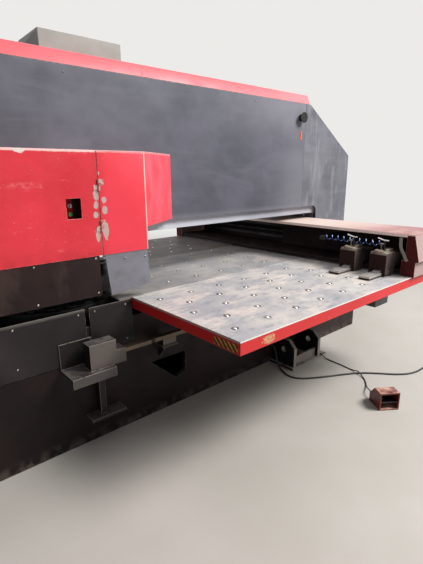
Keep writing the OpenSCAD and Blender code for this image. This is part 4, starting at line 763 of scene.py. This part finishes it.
BALL = [(0.0, BALL[0][1])] + BALL[:-1] + [(0.0, BALL_RISE)]
for label, spots, body, node in (("wing", WING_SPOTS, "carriage", "wing_balls"),
                                 ("centre", CENTRE_SPOTS, "machine", "centre_balls")):
    weld(label + "_ball_cups", [copies(turned(CUP, 20), spots)], 40, body, CUPS, (node,))
    weld(label + "_ball_spheres", [copies(turned(BALL, 20), spots)], 60, body, BALLS)

# Cable ends

def gland(at, d):
    """A screwed gland with a hexagonal nut and a tapered rubber sleeve, pointing along -Y."""
    x, z = at
    hexagon = ((0.0, 0.431), (d * 1.35, 0.431), (d * 1.35, 0.4368), (d * 1.22, 0.438), (0.0, 0.438))
    body = ((0.0, 0.437), (d * 1.05, 0.437), (d * 1.05, 0.4405), (d * 0.95, 0.4415), (d * 0.95, 0.446),
            (d * 0.82, 0.449), (0.0, 0.449))
    return [copies(mirrored(turned(profile, sides, axis=Y)), [(x, 0, z)])
            for profile, sides in ((hexagon, 6), (body, 28))]


weld("gland_nuts", gland((0.930, 0.170), CABLE_D) + gland((1.372, 0.120), SWITCH_D), 30,
     "machine", BLACK_PLASTIC, ("cable_glands",))
RING_PITCH = 0.006


def sleeve(line, d, length, grow):
    """A tapered strain relief over the first stretch of a cable, with rings along it."""
    run = np.concatenate(([0.0], np.cumsum(np.linalg.norm(np.diff(line, axis=0), axis=1))))
    at = np.linspace(0, length, 33)
    path = np.column_stack([np.interp(at, run, line[:, k]) for k in (X, Y, Z)])
    taper = d / 2 * (grow - (grow - 1.08) * at / length)
    return swept(path, taper * (1 + 0.06 * np.sign(np.sin(at * 2 * np.pi / RING_PITCH))), 20)


weld("strain_reliefs", [sleeve(console_line, CABLE_D, 0.045, 1.55),
                        sleeve(switch_line, SWITCH_D, 0.03, 1.5)],
     50, "machine", BLACK_PLASTIC)

# Corner plates and button

TURRET_X, CLEAR_R, LEFT_X, RIGHT_X, PLATE_UNDER = -0.730, 0.418, -0.470, -0.3004, 0.8532
# How far a pressed button stays clear of its collar
BUTTON_SHY = 0.0004


def corner_plate():
    """The plate between the turret and the table: along y, from the turret's clearance circle
    x = c + sqrt(r^2 - y^2), but not beyond LEFT_X, to the table's edge."""
    y = np.linspace(-0.440, -0.140, 25)
    left = np.maximum(LEFT_X, TURRET_X + np.sqrt(np.maximum(CLEAR_R ** 2 - y ** 2, 0)))
    right = np.full_like(y, RIGHT_X)
    corners = (left, PLATE_UNDER), (right, PLATE_UNDER), (right, TABLE_Z), (left, TABLE_Z)
    ring = np.stack([np.column_stack((x, y, np.full_like(y, z))) for x, z in corners], axis=1)
    middle = ring.mean(axis=1, keepdims=True)
    ends = [np.broadcast_to(middle[k], (4, 3))[None] for k in (0, -1)]
    return np.concatenate((ends[0], ring, ends[1])).reshape(-1, 3), grid_faces(len(y) + 2, 4)


CORNER = painted("corner_plate_paint", srgb(128, 120, 112), srgb(92, 84, 78), edge=srgb(176, 168, 160),
                 dust=(srgb(150, 143, 134), 0.6))
weld("corner_plates", [corner_plate(), mirrored(corner_plate())], 30, "machine",
     CORNER)
bpy.data.objects["start_button_eased"].data.transform(Matrix.Translation((0, -BUTTON_SHY, 0)))

# Clamp fittings

SLIDE = body_of(NODES["air_hoses"])[0]
CLAMP_Y, CLAMP_TOP, POST_X, ELBOW_Z = (-0.950, -1.193), 1.035, 1.240, 1.034
HOSE_X, HOSE_Z, HOSE_R, HOSE_PITCH, HOSE_TUBE = 1.290, 1.085, 0.0175, 0.052, 0.0050


def hose_coil(start, stop):
    """A coiled hose along Y: point = (x + r cos a, y, z + r sin a), with a turn for each pitch and a
    radius that closes towards both fittings."""
    turns = abs(stop - start) / HOSE_PITCH
    t = np.linspace(0, 1, int(turns * 28) + 1)
    r = HOSE_R * smooth(np.minimum(t, 1 - t), 0, 0.05)
    a = 2 * np.pi * turns * t + 1.0
    path = np.column_stack((HOSE_X + r * np.cos(a), start + (stop - start) * t, HOSE_Z + r * np.sin(a)))
    return swept(path, HOSE_TUBE, 10)


weld("air_hose_coils", [hose_coil(-0.694, -0.912), hose_coil(-0.932, -1.155)], 60, SLIDE,
     HOSE, ("air_hoses",))
posts, levers, elbows, castings = [], [], [], []
for y in CLAMP_Y:
    posts += [turned(((0, CLAMP_TOP), (0.008, CLAMP_TOP), (0.008, 1.045), (0.005, 1.048),
                      (0.005, 1.118), (0, 1.118)), 16, at=(POST_X, y - 0.020, 0)),
              turned(((0, CLAMP_TOP), (0.016, CLAMP_TOP), (0.016, 1.041), (0, 1.041)), 6,
                     at=(POST_X, y - 0.020, 0))]
    levers.append(swept(curved([(POST_X, y + 0.034, 1.134), (POST_X, y + 0.012, 1.128),
                                (POST_X, y - 0.012, 1.122), (POST_X, y - 0.049, 1.121)]),
                        0.0048, 14, up=(1, 0, 0)))
    elbows += [swept([(HOSE_X, y + 0.046, HOSE_Z), (HOSE_X, y + 0.010, HOSE_Z)], 0.0072, 18),
               swept([(HOSE_X, y + 0.028, HOSE_Z), (HOSE_X, y + 0.028, ELBOW_Z)], 0.0062, 18, up=(0, 1, 0)),
               turned(((0, ELBOW_Z), (0.011, ELBOW_Z), (0.011, 1.046), (0, 1.046)), 6,
                      at=(HOSE_X, y + 0.028, 0))]
    castings += [lump((1.252, y + 0.004, 1.034), (0.044, 0.046, 0.010), 0.4),
                 lump((1.226, y + 0.030, 1.040), (0.017, 0.013, 0.013), 0.6),
                 lump((1.292, y - 0.026, 1.040), (0.042, 0.012, 0.015), 0.5),
                 lump((1.352, y + 0.002, 1.038), (0.030, 0.030, 0.012), 0.5)]
weld("clamp_posts", posts, 30, SLIDE, STUB, ("air_fittings",))
weld("clamp_levers", levers, 60, SLIDE, CHROME)
weld("air_elbows", elbows, 30, SLIDE, ZINC)
weld("clamp_castings", castings, 50, SLIDE, BEIGE)
weld("air_manifold", [lump((1.437, -0.667, 1.077), (0.163, 0.027, 0.018), 0.1)], 40, SLIDE,
     STUB)
weld("beam_strap", [swept(curved([(1.331, -1.283, 1.140), (1.329, -1.289, 1.073), (1.327, -1.317, 1.019),
                                  (1.324, -1.343, 0.976)]), 0.012, 16, 0.2, up=(1, 0, 0))],
     40, "carriage", STRAP)

# Screws, tag and plug

HEAD = ((0.0, 0.0), (0.0066, 0.0), (0.0066, 0.0012), (0.0056, 0.0030), (0.0036, 0.0038),
        (0.0034, 0.0018), (0.0, 0.0018))
# How far each wall stands from the middle
SKIRT_Y, LOWER_Y, COVER_Y = 0.473, 0.437, 0.233


def front_screws(y, spots, size=1.0):
    """Button heads on a wall at -y, at (x, z) each, and the same at the rear."""
    shell = turned([(r * size, -h * size) for r, h in HEAD], 20, axis=Y)
    front = copies(shell, [(x, -y, z) for x, z in spots])
    return [front, mirrored(front)]


SKIRT_SCREWS = [(x, z) for x in (-1.52, -1.25, -0.949, -0.612) for z in (0.942, 1.141)]
LOWER_SCREWS = [(x, z) for x in (-1.86, -1.46, -1.08, -0.73, -0.63, -0.43) for z in (0.605, 0.825)]
RIGHT_SCREWS = [(1.60, 1.21), (1.60, 1.62), (1.60, 2.02), (2.26, 1.21), (2.26, 1.62)]
COVER_SCREWS = ([(x, z) for x in (-2.26, -1.45, -0.60) for z in (1.33, 2.13)]
                + [(x, 2.13) for x in (0.25, 0.92, 1.50)])
weld("wall_screws", front_screws(SKIRT_Y, SKIRT_SCREWS) + front_screws(LOWER_Y, LOWER_SCREWS)
     + front_screws(COVER_Y, RIGHT_SCREWS + COVER_SCREWS, 0.8), 40, "machine", ZINC)
weld("flap_screws", front_screws(SKIRT_Y, [(-0.431, 1.119), (-0.294, 1.112)])[:1], 40,
     body_of(NODES["door_flap"])[0], ZINC)
weld("blank_tag", [lump((1.504, -0.2345, 1.906), (0.009, 0.0012, 0.037), 0.1)], 40, "machine",
     TAG)
GRIP = [(0.0115 + 0.001 * (k % 2), 0.004 + 0.003 * k) for k in range(9)]
weld("plug_shell", [turned([(0.0, 0.0), (0.0115, 0.0)] + GRIP + [
    (0.0165, 0.034), (0.0190, 0.037), (0.0190, 0.068), (0.0180, 0.070), (0.0180, 0.086), (0.0160, 0.086),
    (0.0160, 0.066), (0.0, 0.066)], 36, at=(PLUG_X, -1.384, 0.019), axis=X)], 30, "machine",
    PLUG, ("console_plug",))

# Floor and light

FLOOR_HALF = 30
ground = bpy.data.meshes.new("floor")
ground.from_pydata([(x * FLOOR_HALF, y * FLOOR_HALF, 0) for x, y in ((-1, -1), (1, -1), (1, 1), (-1, 1))],
                   [], [(0, 1, 2, 3)])
floor = bpy.data.objects.new("floor", ground)
bpy.context.collection.objects.link(floor)
BACKDROP = (0.84, 0.83, 0.81, 1.0)


def floor_paint(name):
    """Pale cloudy floor that fades to the backdrop with the distance, for camera rays only."""
    f = Finish(name)
    far_out = f.add("ShaderNodeVectorMath", {0: f.place}, operation="LENGTH").outputs["Value"]
    to_camera = f.add("ShaderNodeLightPath").outputs["Is Camera Ray"]
    tone = f.mix(f.step(f.noise(0.9, 6.0, 0.6), 0.3, 0.7), srgb(176, 170, 161), srgb(186, 180, 172))
    return f.close(tone, 0.7, 0.0, f.noise(60.0, 3.0), 0.0002,
                   glow=(f.both(f.step(far_out, 3.2, 9.5), to_camera), BACKDROP))


floor.data.materials.append(floor_paint("pale_floor"))


def lamp(name, place, aim, size, power):
    """A square area lamp that faces aim."""
    data = bpy.data.lights.new(name, "AREA")
    data.size, data.energy = size, power
    obj = bpy.data.objects.new(name, data)
    bpy.context.collection.objects.link(obj)
    back = np.array(place, float) - np.array(aim, float)
    back /= np.linalg.norm(back)
    side = np.cross((0, 0, 1), back)
    side /= np.linalg.norm(side)
    matrix = Matrix.Identity(4)
    for column, axis in enumerate((side, np.cross(back, side), back, np.array(place, float))):
        matrix.col[column][:3] = axis
    obj.matrix_world = matrix


lamp("key", (4.2, -5.2, 7.0), (0.0, 0.0, 1.0), 3.0, 1020)
lamp("overhead", (0.5, -0.5, 7.5), (0.0, 0.0, 0.0), 6.0, 130)
lamp("rear_fill", (-4.0, 6.0, 4.5), (0.0, 0.0, 1.0), 4.0, 130)

world = bpy.data.worlds.new("studio")
bpy.context.scene.world = world
world.use_nodes = True
tree = world.node_tree
tree.nodes.clear()
# A dim sky lights the scene, another shows in glossy faces, and the backdrop shows to the camera
seen, dim, shown, mirrored_sky, direct, joined, out = (
    tree.nodes.new("ShaderNode" + kind) for kind in
    ("LightPath", "Background", "Background", "Background", "MixShader", "MixShader", "OutputWorld"))
for sky, tone, strength in ((dim, (0.90, 0.93, 1.0, 1.0), 0.30), (shown, BACKDROP, 1.0),
                            (mirrored_sky, (0.9, 0.92, 0.95, 1.0), 0.55)):
    sky.inputs[0].default_value, sky.inputs[1].default_value = tone, strength
for source, target in (
        (seen.outputs["Is Glossy Ray"], direct.inputs[0]), (dim.outputs[0], direct.inputs[1]),
        (mirrored_sky.outputs[0], direct.inputs[2]), (seen.outputs["Is Camera Ray"], joined.inputs[0]),
        (direct.outputs[0], joined.inputs[1]), (shown.outputs[0], joined.inputs[2]),
        (joined.outputs[0], out.inputs[0])):
    tree.links.new(source, target)
bpy.context.scene.view_settings.view_transform = "Standard"
